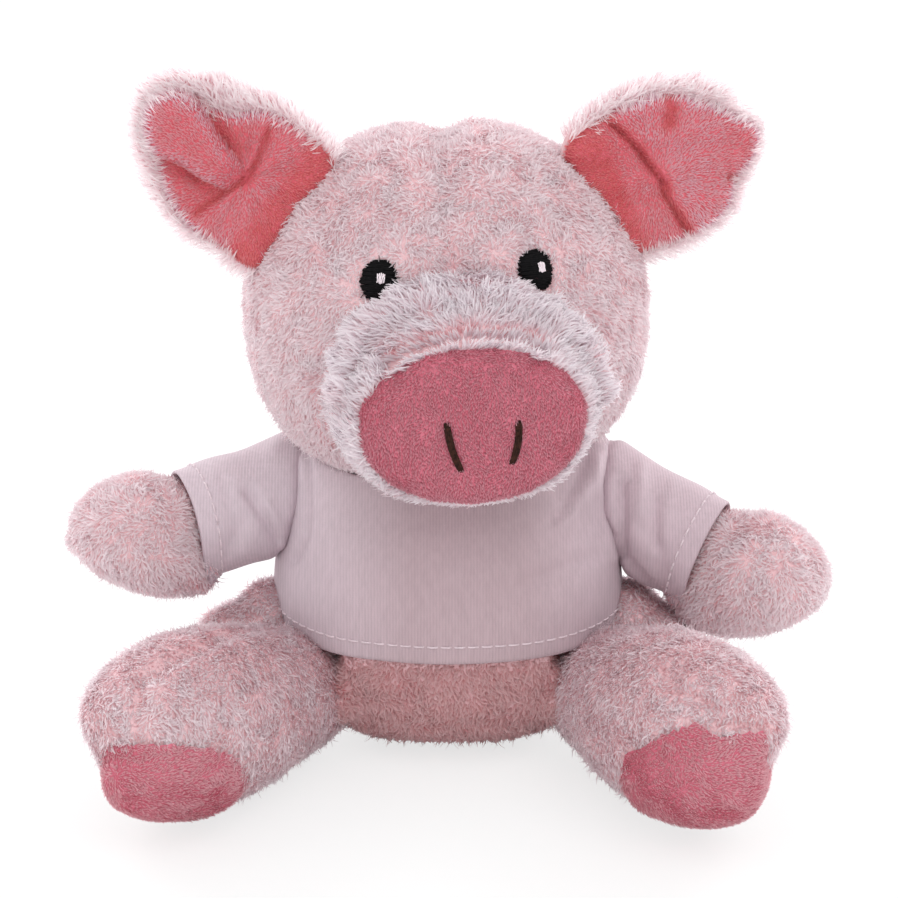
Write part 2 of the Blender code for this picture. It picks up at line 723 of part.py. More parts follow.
def make_arms():
    for side in SIDES:
        place, way = shoulder(side)
        joint = empty("shoulder_joint_" + side, place, aim(way))
        root = SLEEVE_RADIUS - JERSEY_THICKNESS - GAP
        shares = ARM_PROFILE_SHARES
        skin = shaped_ball(
            "arm_skin_" + side, FORM_FACETS, limb(root, HAND_RADIUS, ARM_LENGTH[side], shares, 0.0, ARM_FLATNESS_SHARE), joint
        )
        inset = PLUSH_THICKNESS
        hollow = shaped_ball(
            "arm_hollow_" + side,
            HOLLOW_FACETS,
            limb(root, HAND_RADIUS, ARM_LENGTH[side], shares, inset, ARM_FLATNESS_SHARE),
            joint,
            cutter=True,
        )
        mouth = block(
            "arm_mouth_" + side,
            (-CUT_OVERRUN, -CUT_OVERRUN, -CUT_OVERRUN),
            (CUT_OVERRUN, CUT_OVERRUN, GAP - (root - inset) * MOUTH_SHARE),
            joint,
        )
        cut(skin, hollow, mouth)
        finish(skin, PLUSH_PINK)
        filling = shaped_ball(
            "arm_filling_" + side,
            HOLLOW_FACETS,
            limb(root, HAND_RADIUS, ARM_LENGTH[side], shares, inset + GAP, ARM_FLATNESS_SHARE),
            joint,
        )
        finish(filling, FIBRE_WHITE)
        make_sleeve(side, joint)


def make_sleeve(side, joint):
    """The sleeve turns in the armhole on its ball-shaped inner end."""
    sleeve = shaped_ball("sleeve_" + side, FORM_FACETS, sleeve_tube(SLEEVE_RADIUS), joint)
    inside = sleeve_tube(SLEEVE_RADIUS - JERSEY_THICKNESS)
    bore = shaped_ball("sleeve_bore_" + side, FORM_FACETS, inside, joint, cutter=True)
    reach = CUT_OVERRUN
    cuff = block(
        "cuff_cutter_" + side, (-reach, -reach, SLEEVE_LENGTH), (reach, reach, SLEEVE_LENGTH * 2), joint
    )
    inner = block(
        "sleeve_mouth_" + side,
        (-reach, -reach, -reach),
        (reach, reach, -SLEEVE_RADIUS * SLEEVE_MOUTH_SHARE),
        joint,
    )
    cut(sleeve, bore, cuff, inner)
    finish(sleeve, JERSEY_WHITE)


def make_legs():
    for side in SIDES:
        sign = SIDES[side]
        place, way = hip(side)
        joint = empty("hip_joint_" + side, place, aim(way))
        sizes = (HIP_RADIUS, FOOT_RADIUS, LEG_LENGTH, LEG_PROFILE_SHARES)
        skin = shaped_ball("leg_skin_" + side, FORM_FACETS, limb(*sizes, 0.0), joint)
        hollow = shaped_ball(
            "leg_hollow_" + side, HOLLOW_FACETS, limb(*sizes, PLUSH_THICKNESS), joint, cutter=True
        )
        mouth = block(
            "leg_mouth_" + side,
            (-CUT_OVERRUN, -CUT_OVERRUN, -CUT_OVERRUN),
            (CUT_OVERRUN, CUT_OVERRUN, GAP - (HIP_RADIUS - PLUSH_THICKNESS) * MOUTH_SHARE),
            joint,
        )
        foot = place + way * (LEG_LENGTH - FOOT_RADIUS)
        turn = LEG_SPLAY[side] - SOLE_TURN_IN[side]
        down = SOLE_DOWN[side]
        facing = Vector(
            (
                sign * math.sin(turn) * math.cos(down),
                -math.cos(turn) * math.cos(down),
                -math.sin(down),
            )
        )
        window = empty("sole_frame_" + side, foot, aim(-facing))
        spread = Matrix.Rotation(math.radians(90.0), 3, "X").to_quaternion()
        face = empty("sole_face_" + side, (0.0, 0.0, 0.0), spread, window)
        pocket = shaped_drum(
            "sole_pocket_" + side, SOLE_WIDTH / 2 + GAP, SOLE_HEIGHT / 2 + GAP, LEG_LENGTH, face, cutter=True
        )
        cut(skin, hollow, mouth, pocket, FLOOR)
        finish(skin, PLUSH_PINK)
        filling = shaped_ball(
            "leg_filling_" + side, HOLLOW_FACETS, limb(*sizes, PLUSH_THICKNESS + GAP), joint
        )
        finish(filling, FIBRE_WHITE)
        pad = shaped_drum("sole_pad_" + side, SOLE_WIDTH / 2, SOLE_HEIGHT / 2, LEG_LENGTH, face)
        outer = shaped_ball("sole_outside_" + side, FORM_FACETS, limb(*sizes, 0.0), joint, cutter=True)
        inner = shaped_ball(
            "sole_inside_" + side, FORM_FACETS, limb(*sizes, PLUSH_THICKNESS - GAP), joint, cutter=True
        )
        combine(pad, outer, "INTERSECT")
        cut(pad, inner, FLOOR)
        finish(pad, VELOUR_PINK)


def make_tail():
    """A stalk and one curl, as one unbroken tube, which starts just clear of the body's back."""
    low = (BODY_WAIST_HEIGHT - TAIL_HEIGHT) / (BODY_WAIST_HEIGHT + SEAT_FLAT_DEPTH)
    share = (1.0 - low**BODY_BOTTOM_POWER) ** (1.0 / BODY_BOTTOM_POWER)
    back = BODY_CENTRE_Y + BODY_DEPTH / 2 * share
    joint = empty("tail_joint", (0.0, back + GAP + TAIL_ROOM, TAIL_HEIGHT))
    path = bpy.data.curves.new("tail_path", "CURVE")
    path.dimensions = "3D"
    path.bevel_depth = TAIL_RADIUS
    path.bevel_resolution = 1
    path.use_fill_caps = True
    points = [(0.0, 0.0, 0.0), (0.0, TAIL_STALK / 2, 0.0)]
    for step in range(TAIL_STEPS + 1):
        share = step / TAIL_STEPS
        angle = TAIL_START + share * TAIL_SWEEP
        points.append(
            (
                share * TAIL_PITCH,
                TAIL_STALK + TAIL_CURL_RADIUS * math.cos(angle),
                TAIL_CURL_RADIUS * (1.0 + math.sin(angle)),
            )
        )
    spline = path.splines.new("POLY")
    spline.points.add(len(points) - 1)
    for target, point in zip(spline.points, points):
        target.co = (*point, 1.0)
    tail = bpy.data.objects.new("tail", path)
    link(tail, joint)
    tail.data.materials.append(material("tail_cloth", VELOUR_PINK, CLOTH_ROUGHNESS))


make_body()
make_shirt()
head_skin = make_head()
make_muzzle()
make_eyes(head_skin)
finish(head_skin, PLUSH_PINK)
make_ears()
make_arms()
make_legs()
make_tail()
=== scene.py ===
"""Dresses the plush pig: curly pile, velour nose, soles and ears, a jersey T-shirt, and studio light.

Everything is in metres in the frame of the CAD model. Lines of the photograph are in its pixels from the top left.
The pig faces -Y, and left and right are the pig's own, so its left is at +X.
"""

import math

import bmesh
import bpy
import numpy as np
from mathutils import Matrix, Vector, noise
from mathutils.bvhtree import BVHTree
from mathutils.geometry import delaunay_2d_cdt


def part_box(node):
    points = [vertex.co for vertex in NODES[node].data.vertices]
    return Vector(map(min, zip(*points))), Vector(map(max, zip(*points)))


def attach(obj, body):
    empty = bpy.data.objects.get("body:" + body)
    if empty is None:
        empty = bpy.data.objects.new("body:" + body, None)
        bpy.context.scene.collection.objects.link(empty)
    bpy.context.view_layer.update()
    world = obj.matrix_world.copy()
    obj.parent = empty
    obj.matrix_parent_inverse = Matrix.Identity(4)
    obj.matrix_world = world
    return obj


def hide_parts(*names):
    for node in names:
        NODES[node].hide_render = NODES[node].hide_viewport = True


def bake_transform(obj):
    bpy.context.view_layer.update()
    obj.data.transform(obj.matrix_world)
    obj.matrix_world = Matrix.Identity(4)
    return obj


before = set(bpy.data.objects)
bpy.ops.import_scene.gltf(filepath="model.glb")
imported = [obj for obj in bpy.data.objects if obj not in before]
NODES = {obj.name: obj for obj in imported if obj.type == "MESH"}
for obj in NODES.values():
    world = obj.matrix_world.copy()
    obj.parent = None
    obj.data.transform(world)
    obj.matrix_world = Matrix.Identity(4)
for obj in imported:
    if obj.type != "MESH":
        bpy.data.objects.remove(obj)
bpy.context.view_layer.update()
noise.seed_set(7)  # Without a seed, noise_vector takes its offsets from the clock

# Photograph's camera
IMAGE_WIDTH = 898
FOCAL_PIXELS = 2728
HORIZON_SHIFT_PIXELS = -80
CAMERA_ELEVATION = math.radians(16.0)
CAMERA_DISTANCE = 0.62
CAMERA_TARGET = Vector((0.0, 0.0, 0.0845))
SENSOR_WIDTH = 36.0
AHEAD = np.array([0.0, math.cos(CAMERA_ELEVATION), -math.sin(CAMERA_ELEVATION)])
UPWARDS = np.array([0.0, math.sin(CAMERA_ELEVATION), math.cos(CAMERA_ELEVATION)])
CAMERA_PLACE = CAMERA_TARGET - Vector(AHEAD) * CAMERA_DISTANCE

# Head's frame, as in the CAD model
HEAD_YAW = math.radians(5.5)
HEAD_ROLL = math.radians(-2.5)
HEAD_TURN = Matrix.Rotation(HEAD_YAW, 3, "Z") @ Matrix.Rotation(HEAD_ROLL, 3, "Y")

MM = 0.001
PILE = 1.5 * MM
FORM_VOXEL = 1.5 * MM
FLOOR_GAP = 0.25 * MM
TUFT_SPACING = 0.5 * MM
NAP_SPACING = 0.42 * MM
EAR_SPACING = 0.46 * MM
SIDES = {"left": 1, "right": -1}


# Small helpers
def box_centre(node):
    low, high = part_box(node)
    return (Vector(low) + Vector(high)) / 2


def unit(vectors):
    return vectors / np.maximum(np.linalg.norm(vectors, axis=-1, keepdims=True), 1e-12)


def eased(values):
    values = np.clip(values, 0.0, 1.0)
    return values * values * (3.0 - 2.0 * values)


def bell(gap, width):
    """1 in the middle of a line and falling off to its sides."""
    return np.exp(-((gap / width) ** 2))


def around(count):
    """Evenly spaced angles of a full turn."""
    return np.linspace(0, 2 * math.pi, count, endpoint=False)


def distances(points):
    """How far each point of a line, or of the first axis of a grid, is along it."""
    steps = np.linalg.norm(np.diff(points, axis=0), axis=-1)
    return np.concatenate([np.zeros((1, *steps.shape[1:])), np.cumsum(steps, axis=0)])


def arrays(mesh):
    """Points and triangles of a mesh."""
    mesh.calc_loop_triangles()
    points = np.empty(len(mesh.vertices) * 3, np.float32)
    mesh.vertices.foreach_get("co", points)
    tris = np.empty(len(mesh.loop_triangles) * 3, np.int32)
    mesh.loop_triangles.foreach_get("vertices", tris)
    return points.reshape(-1, 3).astype(float), tris.reshape(-1, 3)


def tree_of(points, faces):
    return BVHTree.FromPolygons([tuple(p) for p in points], [tuple(int(i) for i in f) for f in faces])


def point_normals(points, tris):
    a, b, c = (points[tris[:, i]] for i in range(3))
    face = np.cross(b - a, c - a)
    total = np.zeros_like(points)
    for i in range(3):
        for axis in range(3):
            total[:, axis] += np.bincount(tris[:, i], face[:, axis], len(points))
    return unit(total)


def wound(points, tris, front):
    """A sheet's triangles, turned to face along a way."""
    a, b, c = points[tris[0]]
    return tris[:, ::-1] if np.dot(np.cross(b - a, c - a), front) < 0 else tris


def smooth_points(points, tris, rounds):
    """Evens out a surface, and by turns swells it back so that it keeps its size."""
    edges = np.concatenate([tris[:, [0, 1]], tris[:, [1, 2]], tris[:, [2, 0]]])
    edges = np.unique(np.sort(edges, axis=1), axis=0)
    ends = np.concatenate([edges[:, 0], edges[:, 1]])
    others = np.concatenate([edges[:, 1], edges[:, 0]])
    count = np.bincount(ends, minlength=len(points))[:, None]
    for step in range(rounds):
        mean = np.stack([np.bincount(ends, points[others, axis], len(points)) for axis in range(3)], axis=1) / count
        points = points + (mean - points) * (0.5 if step % 2 == 0 else -0.52)
    return points


def seen_at(places):
    """Where places lie in the photograph."""
    gap = places - (np.array(CAMERA_TARGET) - AHEAD * CAMERA_DISTANCE)
    depth = gap @ AHEAD
    middle = IMAGE_WIDTH / 2
    across, down = gap[:, 0] / depth, -(gap @ UPWARDS) / depth
    return np.stack([middle + FOCAL_PIXELS * across, middle + HORIZON_SHIFT_PIXELS + FOCAL_PIXELS * down], axis=1)


def facing(normals):
    """How far places face the photograph's camera, from 0 to 1."""
    return eased((normals @ -AHEAD) / 0.35)


def photo_hit(tree, u, v):
    """The place and normal on a surface that the photograph shows at a pixel."""
    middle = IMAGE_WIDTH / 2
    across, down = (u - middle) / FOCAL_PIXELS, (v - middle - HORIZON_SHIFT_PIXELS) / FOCAL_PIXELS
    way = Vector(AHEAD) + Vector((1.0, 0.0, 0.0)) * across - Vector(UPWARDS) * down
    return tree.ray_cast(CAMERA_PLACE, way)[:2]


def added(name, data):
    made = bpy.data.objects.new(name, data)
    bpy.context.scene.collection.objects.link(made)
    return made


def new_object(name, points, faces, look=None, smooth=True):
    mesh = bpy.data.meshes.new(name)
    mesh.from_pydata([tuple(p) for p in points], [], [tuple(int(i) for i in f) for f in faces])
    mesh.validate()
    if smooth:
        mesh.shade_smooth()
    if look is not None:
        mesh.materials.append(look)
    return added(name, mesh)


def placed(made, body):
    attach(made, body)
    return made


# Forms, each as points and triangles
def outer_form(nodes, rounds, voxel=FORM_VOXEL, lumps=()):
    """One smooth closed surface around CAD nodes and round lumps, which are given in millimetres."""
    joined = bmesh.new()
    for node in nodes:
        joined.from_mesh(NODES[node].data)
    for centre, radii in lumps:
        shape = Matrix.Translation(Vector(centre) * MM) @ Matrix.Diagonal((*(r * MM for r in radii), 1.0))
        bmesh.ops.create_icosphere(joined, subdivisions=4, radius=1.0, matrix=shape)
    mesh = bpy.data.meshes.new("form")
    joined.to_mesh(mesh)
    joined.free()
    holder = added("form", mesh)
    remesh = holder.modifiers.new("remesh", "REMESH")
    remesh.mode = "VOXEL"
    remesh.voxel_size = voxel
    made = bpy.data.meshes.new_from_object(holder.evaluated_get(bpy.context.evaluated_depsgraph_get()))
    points, tris = outermost(*arrays(made))
    bpy.data.objects.remove(holder)
    bpy.data.meshes.remove(made)
    return smooth_points(points, tris, rounds), tris


def outermost(points, tris):
    """The shell with the most faces, without the shells inside it."""
    label = np.arange(len(points))
    while True:
        low = label[tris].min(axis=1)
        spread = label.copy()
        for i in range(3):
            np.minimum.at(spread, tris[:, i], low)
        spread = spread[spread]
        if (spread == label).all():
            break
        label = spread
    names, counts = np.unique(label[tris[:, 0]], return_counts=True)
    keep = tris[label[tris[:, 0]] == names[counts.argmax()]]
    used, index = np.unique(keep, return_inverse=True)
    return points[used], index.reshape(-1, 3)


def line_gap(points, line):
    """Distance from 2-D points to a polyline, and the share of its length where each is nearest."""
    line = np.asarray(line, float)
    best = np.full(len(points), 1e9)
    share = np.zeros(len(points))
    before = distances(line)
    for k, length in enumerate(np.linalg.norm(np.diff(line, axis=0), axis=1)):
        way = (line[k + 1] - line[k]) / length
        along = np.clip((points - line[k]) @ way, 0.0, length)
        gap = np.linalg.norm(points - line[k] - along[:, None] * way, axis=1)
        closer = gap < best
        best[closer] = gap[closer]
        share[closer] = ((before[k] + along) / before[-1])[closer]
    return best, share


def lines_gap(places, lines):
    """Distance from places to the nearest of some lines of the photograph, in its pixels."""
    return np.min([line_gap(seen_at(places), line)[0] for line in lines], axis=0)


def dented(points, normals, lines):
    """Points with creases or ridges along lines of the photograph, each with a depth and a width in pixels."""
    for line, depth, width in lines:
        points = points - normals * (depth * bell(lines_gap(points, [line]), width) * facing(normals))[:, None]
    return points


def pressed(form, lines):
    points, tris = form
    for line in lines:
        points = dented(points, point_normals(points, tris), [line])
    return points, tris


def inside_loop(points, loop):
    """Whether 2-D points lie inside a closed loop."""
    x, y = points[:, 0], points[:, 1]
    within = np.zeros(len(points), bool)
    for (x0, y0), (x1, y1) in zip(loop, np.roll(loop, -1, axis=0)):
        crosses = (y0 > y) != (y1 > y)
        with np.errstate(divide="ignore", invalid="ignore"):
            at = x0 + (y - y0) * (x1 - x0) / (y1 - y0)
        within ^= crosses & (x < at)
    return within


def loop_gap(points, loop):
    """Distance to a closed loop, positive inside it."""
    gap, _ = line_gap(points, np.concatenate([loop, loop[:1]]))
    return np.where(inside_loop(points, loop), gap, -gap)


def rounded_loop(loop, spacing):
    """A closed loop through the given corners, smoothed and evenly spaced."""
    loop = np.asarray(loop, float)
    for _ in range(3):
        following = np.roll(loop, -1, axis=0)
        loop = np.stack([loop * 0.75 + following * 0.25, loop * 0.25 + following * 0.75], axis=1).reshape(-1, 2)
    closed = np.concatenate([loop, loop[:1]])
    along = distances(closed)
    wanted = np.linspace(0.0, along[-1], int(along[-1] / spacing), endpoint=False)
    return np.stack([np.interp(wanted, along, closed[:, axis]) for axis in range(2)], axis=1)


def filled_loop(loop, spacing):
    """Points and triangles that fill a closed loop evenly."""
    low, high = loop.min(axis=0), loop.max(axis=0)
    rows = np.arange(low[1], high[1], spacing * 0.87)
    grid = np.array(
        [(x + (k % 2) * spacing / 2, z) for k, z in enumerate(rows) for x in np.arange(low[0], high[0], spacing)]
    )
    grid = grid[loop_gap(grid, loop) > spacing * 0.55]
    count = len(loop)
    edges = [(i, (i + 1) % count) for i in range(count)]
    points, _, faces, *_ = delaunay_2d_cdt([Vector(p) for p in np.concatenate([loop, grid])], edges, [], 1, 1e-9)
    return np.array([tuple(p) for p in points]), np.array([f for f in faces])


def grid_faces(rows, columns, wrap=True):
    faces = []
    for k in range(rows - 1):
        for i in range(columns if wrap else columns - 1):
            j = (i + 1) % columns
            faces.append((k * columns + i, k * columns + j, (k + 1) * columns + j, (k + 1) * columns + i))
    return faces


def tube(line, radius, sides=8):
    """Points and faces of a round thread along a line, with rounded ends."""
    line = np.asarray(line, float)
    radii = np.full(len(line), float(radius))
    ends = unit(line[0] - line[1]), unit(line[-1] - line[-2])
    line = np.concatenate([[line[0] + ends[0] * radii[0] * 0.7], line, [line[-1] + ends[1] * radii[-1] * 0.7]])
    radii = np.concatenate([[radii[0] * 0.45], radii, [radii[-1] * 0.45]])
    along = unit(np.gradient(line, axis=0))
    up = np.array([0.0, 0.0, 1.0]) if abs(along[0][2]) < 0.9 else np.array([1.0, 0.0, 0.0])
    first = unit(np.cross(along, up))
    second = np.cross(along, first)
    angles = around(sides)
    ring = first[:, None, :] * np.cos(angles)[None, :, None] + second[:, None, :] * np.sin(angles)[None, :, None]
    points = (line[:, None, :] + ring * radii[:, None, None]).reshape(-1, 3)
    caps = [tuple(range(sides))[::-1], tuple(range(len(points) - sides, len(points)))]
    return points, grid_faces(len(line), sides) + caps


def joined_parts(parts):
    """Points and faces of several parts as one."""
    points, faces, count = [], [], 0
    for part_points, part_faces in parts:
        points.append(part_points)
        faces += [tuple(int(i) + count for i in face) for face in part_faces]
        count += len(part_points)
    return np.concatenate(points), faces


# Materials
def linear(colour):
    """A linear colour from the 0 to 255 values that a picture shows, or a grey from one linear value."""
    if np.isscalar(colour):
        return (colour, colour, colour, 1.0)
    shares = [value / 255 for value in colour]
    return tuple(s / 12.92 if s <= 0.04045 else ((s + 0.055) / 1.055) ** 2.4 for s in shares) + (1.0,)


class Nodes:
    """Builds the nodes of a material or world step by step."""

    def __init__(self, owner, output):
        owner.use_nodes = True
        self.tree = owner.node_tree
        self.surface = self.tree.nodes[output].inputs["Surface"]

    def add(self, kind, links=(), **values):
        node = self.tree.nodes.new(kind)
        for key, value in values.items():
            setattr(node, key, value)
        for socket, source in links:
            self.put(source, node.inputs[socket])
        return node

    def put(self, source, socket):
        if hasattr(source, "is_output"):
            self.tree.links.new(source, socket)
        else:
            socket.default_value = source

    def math(self, operation, *sources):
        return self.add("ShaderNodeMath", list(enumerate(sources)), operation=operation).outputs[0]

    def total(self, *parts):
        """The sum of sources, each times its share."""
        first, *others = (self.math("MULTIPLY", *part) for part in parts)
        for other in others:
            first = self.math("ADD", first, other)
        return first

    def seen(self):
        """1 for what the camera or a reflection sees by itself."""
        path = self.add("ShaderNodeLightPath")
        return self.math("MAXIMUM", path.outputs["Is Camera Ray"], path.outputs["Is Glossy Ray"])

    def show(self, share, first, second):
        """Puts a mix of two shaders on the surface."""
        both = self.add("ShaderNodeMixShader", [("Fac", share), (1, first.outputs[0]), (2, second.outputs[0])])
        self.put(both.outputs[0], self.surface)


class Look(Nodes):
    """A cloth or pile material."""

    def __init__(self, name, roughness=0.9, sheen=0.0, specular=0.15):
        self.material = bpy.data.materials.new(name)
        super().__init__(self.material, "Material Output")
        self.shader = self.tree.nodes["Principled BSDF"]
        values = {"Roughness": roughness, "Specular IOR Level": specular, "Sheen Weight": sheen, "Sheen Roughness": 0.5}
        for socket, value in values.items():
            self.shader.inputs[socket].default_value = value

    def coloured(self, source):
        self.put(source, self.shader.inputs["Base Color"])
        return self.material

    def place(self):
        return self.add("ShaderNodeTexCoord").outputs["Object"]

    def noise(self, scale, detail=3.0, roughness=0.6, vector=None, output="Fac"):
        sockets = [("Vector", vector or self.place()), ("Scale", scale), ("Detail", detail), ("Roughness", roughness)]
        return self.add("ShaderNodeTexNoise", sockets).outputs[output]

    def drawn(self, vector, height):
        """A vector for texture that is drawn out upwards."""
        return self.add("ShaderNodeMapping", [("Vector", vector), ("Scale", (1.0, 1.0, height))]).outputs[0]

    def waves(self, vector, scale, distortion, way, **more):
        sockets = [("Vector", vector), ("Scale", scale), ("Distortion", distortion), *more.items()]
        return self.add("ShaderNodeTexWave", sockets, wave_type="BANDS", bands_direction=way).outputs["Fac"]

    def ramp(self, source, stops):
        made = self.add("ShaderNodeValToRGB", [("Fac", source)])
        elements = made.color_ramp.elements
        while len(elements) < len(stops):
            elements.new(0.5)
        for element, (position, colour) in zip(elements, stops):
            element.position = position
            element.color = linear(colour)
        return made.outputs["Color"]

    def times(self, first, second):
        sockets = [(0, 1.0), (6, first), (7, second)]
        return self.add("ShaderNodeMix", sockets, data_type="RGBA", blend_type="MULTIPLY").outputs[2]

    def bump(self, height, strength, distance):
        made = self.add("ShaderNodeBump", [("Height", height), ("Strength", strength), ("Distance", distance)])
        self.put(made.outputs["Normal"], self.shader.inputs["Normal"])


FUR_TINTS = ((248, 242, 243), (255, 255, 255))
# Painted shade: the deeper pink that pile is darkened to in creases and where parts meet
PAINTED_CREASE_SHADE = (238, 184, 187)


def fur_look(name, tip, middle, root, crease=None, leak_share=0.5, tints=FUR_TINTS):
    """Pile whose colour runs from root to tip along its map's V, and differs from tuft to tuft with its U.

    With a colour of painted shade for creases, the lowest quarter of U runs down to it.
    """
    look = Look(name, 0.85)
    parts = look.add("ShaderNodeSeparateXYZ", [("Vector", look.add("ShaderNodeUVMap", uv_map="OFBake").outputs["UV"])])
    along = look.ramp(parts.outputs["Y"], [(0.0, root), (0.5, middle), (0.9, tip)])
    low = [(0.0, tints[0])] if crease is None else [(0.0, crease), (0.25, tints[0])]
    colour = look.times(along, look.ramp(parts.outputs["X"], low + [(1.0, tints[1])]))
    look.show(leak_share, look.shader, look.add("ShaderNodeBsdfTranslucent", [("Color", colour)]))
    return look.coloured(colour)


def cloth_look(name, colour, deep, scale=1400.0):
    """Backing cloth, mottled like brushed pile."""
    look = Look(name)
    fine = look.noise(scale, 2.0)
    look.bump(fine, 0.4, 0.4 * MM)
    return look.coloured(look.ramp(look.total((look.noise(90.0), 0.5), (fine, 0.5)), [(0.38, deep), (0.62, colour)]))


def bed_look(name, deep, pale):
    """Dense pile seen from above: short upright strokes of pale tips over a deeper ground."""
    look = Look(name)
    bend = look.noise(120.0, 2.0, 0.5, output="Color")
    shift = look.add("ShaderNodeVectorMath", [(0, bend), (1, (0.004, 0.004, 0.004))], operation="MULTIPLY")
    moved = look.add("ShaderNodeVectorMath", [(0, look.place()), (1, shift.outputs[0])], operation="ADD")
    strokes = look.noise(1300.0, 2.0, 0.5, look.drawn(moved.outputs[0], 0.45))
    look.bump(strokes, 0.6, 0.5 * MM)
    mixed = look.total((strokes, 0.7), (look.noise(160.0, 2.0), 0.3))
    return look.coloured(look.ramp(mixed, [(0.38, deep), (0.62, pale)]))


def jersey_look(name, tones, deep_share):
    """Fine knit with vertical wales, in tones at places along X in millimetres, which are painted shade over the middle
    and painted light towards the sides.
    """
    look = Look(name, 0.85, 0.15)
    place = look.place()
    wales = look.waves(place, 460.0, 1.2, "X", **{"Detail": 2.0, "Detail Scale": 3.0})
    knit = look.total((wales, 0.88), (look.waves(place, 620.0, 0.6, "Z"), 0.12))
    threads = look.noise(900.0, 2.0, 0.6, look.drawn(place, 0.25))
    tone = look.total((knit, 0.26), (threads, 0.49), (look.noise(60.0), 0.25))
    across = look.add("ShaderNodeSeparateXYZ", [("Vector", place)]).outputs["X"]
    along = look.math("ADD", look.math("MULTIPLY", across, 1 / (120 * MM)), 0.5)
    colour = look.ramp(along, [(0.5 + x / 120, tone_at) for x, tone_at in tones])
    look.bump(knit, 0.3, 0.15 * MM)
    return look.coloured(look.times(colour, look.ramp(tone, [(0.32, deep_share), (0.68, 1.0)])))


def thread_look(name, colour, deep, sheen=0.3):
    look = Look(name, 0.7, sheen, 0.1)
    return look.coloured(look.ramp(look.noise(1500.0, 2.0), [(0.35, deep), (0.65, colour)]))


# Pile
def scatter(form, spacing, seed, keep=None):
    """Random places about a spacing apart, with their normals."""
    points, tris = form
    generator = np.random.default_rng(seed)
    a, b, c = (points[tris[:, i]] for i in range(3))
    area = np.linalg.norm(np.cross(b - a, c - a), axis=1) / 2
    count = int(area.sum() / spacing**2 * 2.4)
    face = generator.choice(len(tris), count, p=area / area.sum())
    r, s = generator.random((2, count))
    flip = r + s > 1
    r[flip], s[flip] = 1 - r[flip], 1 - s[flip]
    weights = np.stack([1 - r - s, r, s], axis=1)[:, :, None]
    place = (points[tris[face]] * weights).sum(axis=1)
    normal = unit((point_normals(points, tris)[tris[face]] * weights).sum(axis=1))
    _, first = np.unique(np.floor(place / spacing).astype(np.int64), axis=0, return_index=True)
    first.sort()
    place, normal = place[first], normal[first]
    if keep is not None:
        chosen = keep(place, normal)
        place, normal = place[chosen], normal[chosen]
    return place, normal


def wander(places, scale, seed):
    """A smoothly changing random vector at each place."""
    shift = Vector((seed * 7.3, seed * 3.1, seed * 5.7))
    return np.array([noise.noise_vector(Vector(p) / scale + shift) for p in places]).reshape(-1, 3)


def strands(name, places, normals, lean, pile, look, seed, length_share=1.0, tint=None):
    """Pile as soft flat strands that bend over along their lean."""
    generator = np.random.default_rng(seed + 1000)
    count, steps = len(places), pile["steps"]
    tangent = unit(lean - normals * (lean * normals).sum(axis=1, keepdims=True) + 1e-9)
    side = np.cross(normals, tangent)
    length = pile["length"] * (0.75 + 0.5 * generator.random(count)) * length_share
    start = np.radians(pile["start"]) * (0.5 + generator.random(count))
    bend = np.radians(pile["end"]) * (0.7 + 0.5 * generator.random(count))
    curl = pile["curl"] * generator.normal(0.0, 1.0, count)
    radius = pile["radius"] * (0.8 + 0.4 * generator.random(count))
    twist = generator.normal(0.0, 0.6, count)
    tint = generator.random(count) if tint is None else np.clip(tint + generator.normal(0.0, 0.08, count), 0.0, 1.0)
    rings = np.linspace(0.0, 1.0, steps + 1)
    profile = np.interp(rings, [0.0, 0.35, 0.7, 0.9, 1.0], (0.8, 1.0, 0.9, 0.6, 0.3))
    centre = np.empty((count, steps + 1, 3))
    ways = np.empty((count, steps + 1, 3))
    centre[:, 0] = places - normals * pile["sink"]
    for k in range(steps + 1):
        angle = start + (bend - start) * rings[k]
        over = normals * np.cos(angle)[:, None] + tangent * np.sin(angle)[:, None]
        ways[:, k] = unit(over + side * (curl * rings[k])[:, None])
        if k:
            centre[:, k] = centre[:, k - 1] + unit(ways[:, k] + ways[:, k - 1]) * (length / steps)[:, None]
    first = unit(side[:, None, :] - ways * (side[:, None, :] * ways).sum(axis=2, keepdims=True))
    second = np.cross(ways, first)
    turn = twist[:, None] * rings[None, :]
    spoke = first * np.cos(turn)[..., None] + second * np.sin(turn)[..., None]
    spoke = spoke * (radius[:, None] * profile[None, :])[..., None]
    points = np.stack([centre - spoke, centre + spoke], axis=2)
    points[..., 2] = np.maximum(points[..., 2], FLOOR_GAP)
    low = (np.arange(count)[:, None] * (steps + 1) + np.arange(steps)[None, :]) * 2
    quads = np.stack([low, low + 1, low + 3, low + 2], axis=-1)
    u = np.broadcast_to((0.03 + 0.94 * tint)[:, None], (count, steps))
    bottom, top = (np.broadcast_to(0.02 + 0.96 * v[None, :], (count, steps)) for v in (rings[:-1], rings[1:]))
    corners = [(u - 0.01, bottom), (u + 0.01, bottom), (u + 0.01, top), (u - 0.01, top)]
    uv = np.stack([np.stack(corner, axis=-1) for corner in corners], axis=2)
    mesh = bpy.data.meshes.new(name)
    mesh.vertices.add(points.size // 3)
    mesh.vertices.foreach_set("co", points.astype(np.float32).ravel())
    mesh.loops.add(quads.size)
    mesh.loops.foreach_set("vertex_index", quads.astype(np.int32).ravel())
    mesh.polygons.add(quads.size // 4)
    mesh.polygons.foreach_set("loop_start", np.arange(0, quads.size, 4, dtype=np.int32))
    layer = mesh.uv_layers.new(name="OFBake")
    mesh.update(calc_edges=True)
    layer.data.foreach_set("uv", uv.astype(np.float32).ravel())
    mesh.shade_smooth()
    mesh.materials.append(look)
    return added(name, mesh)


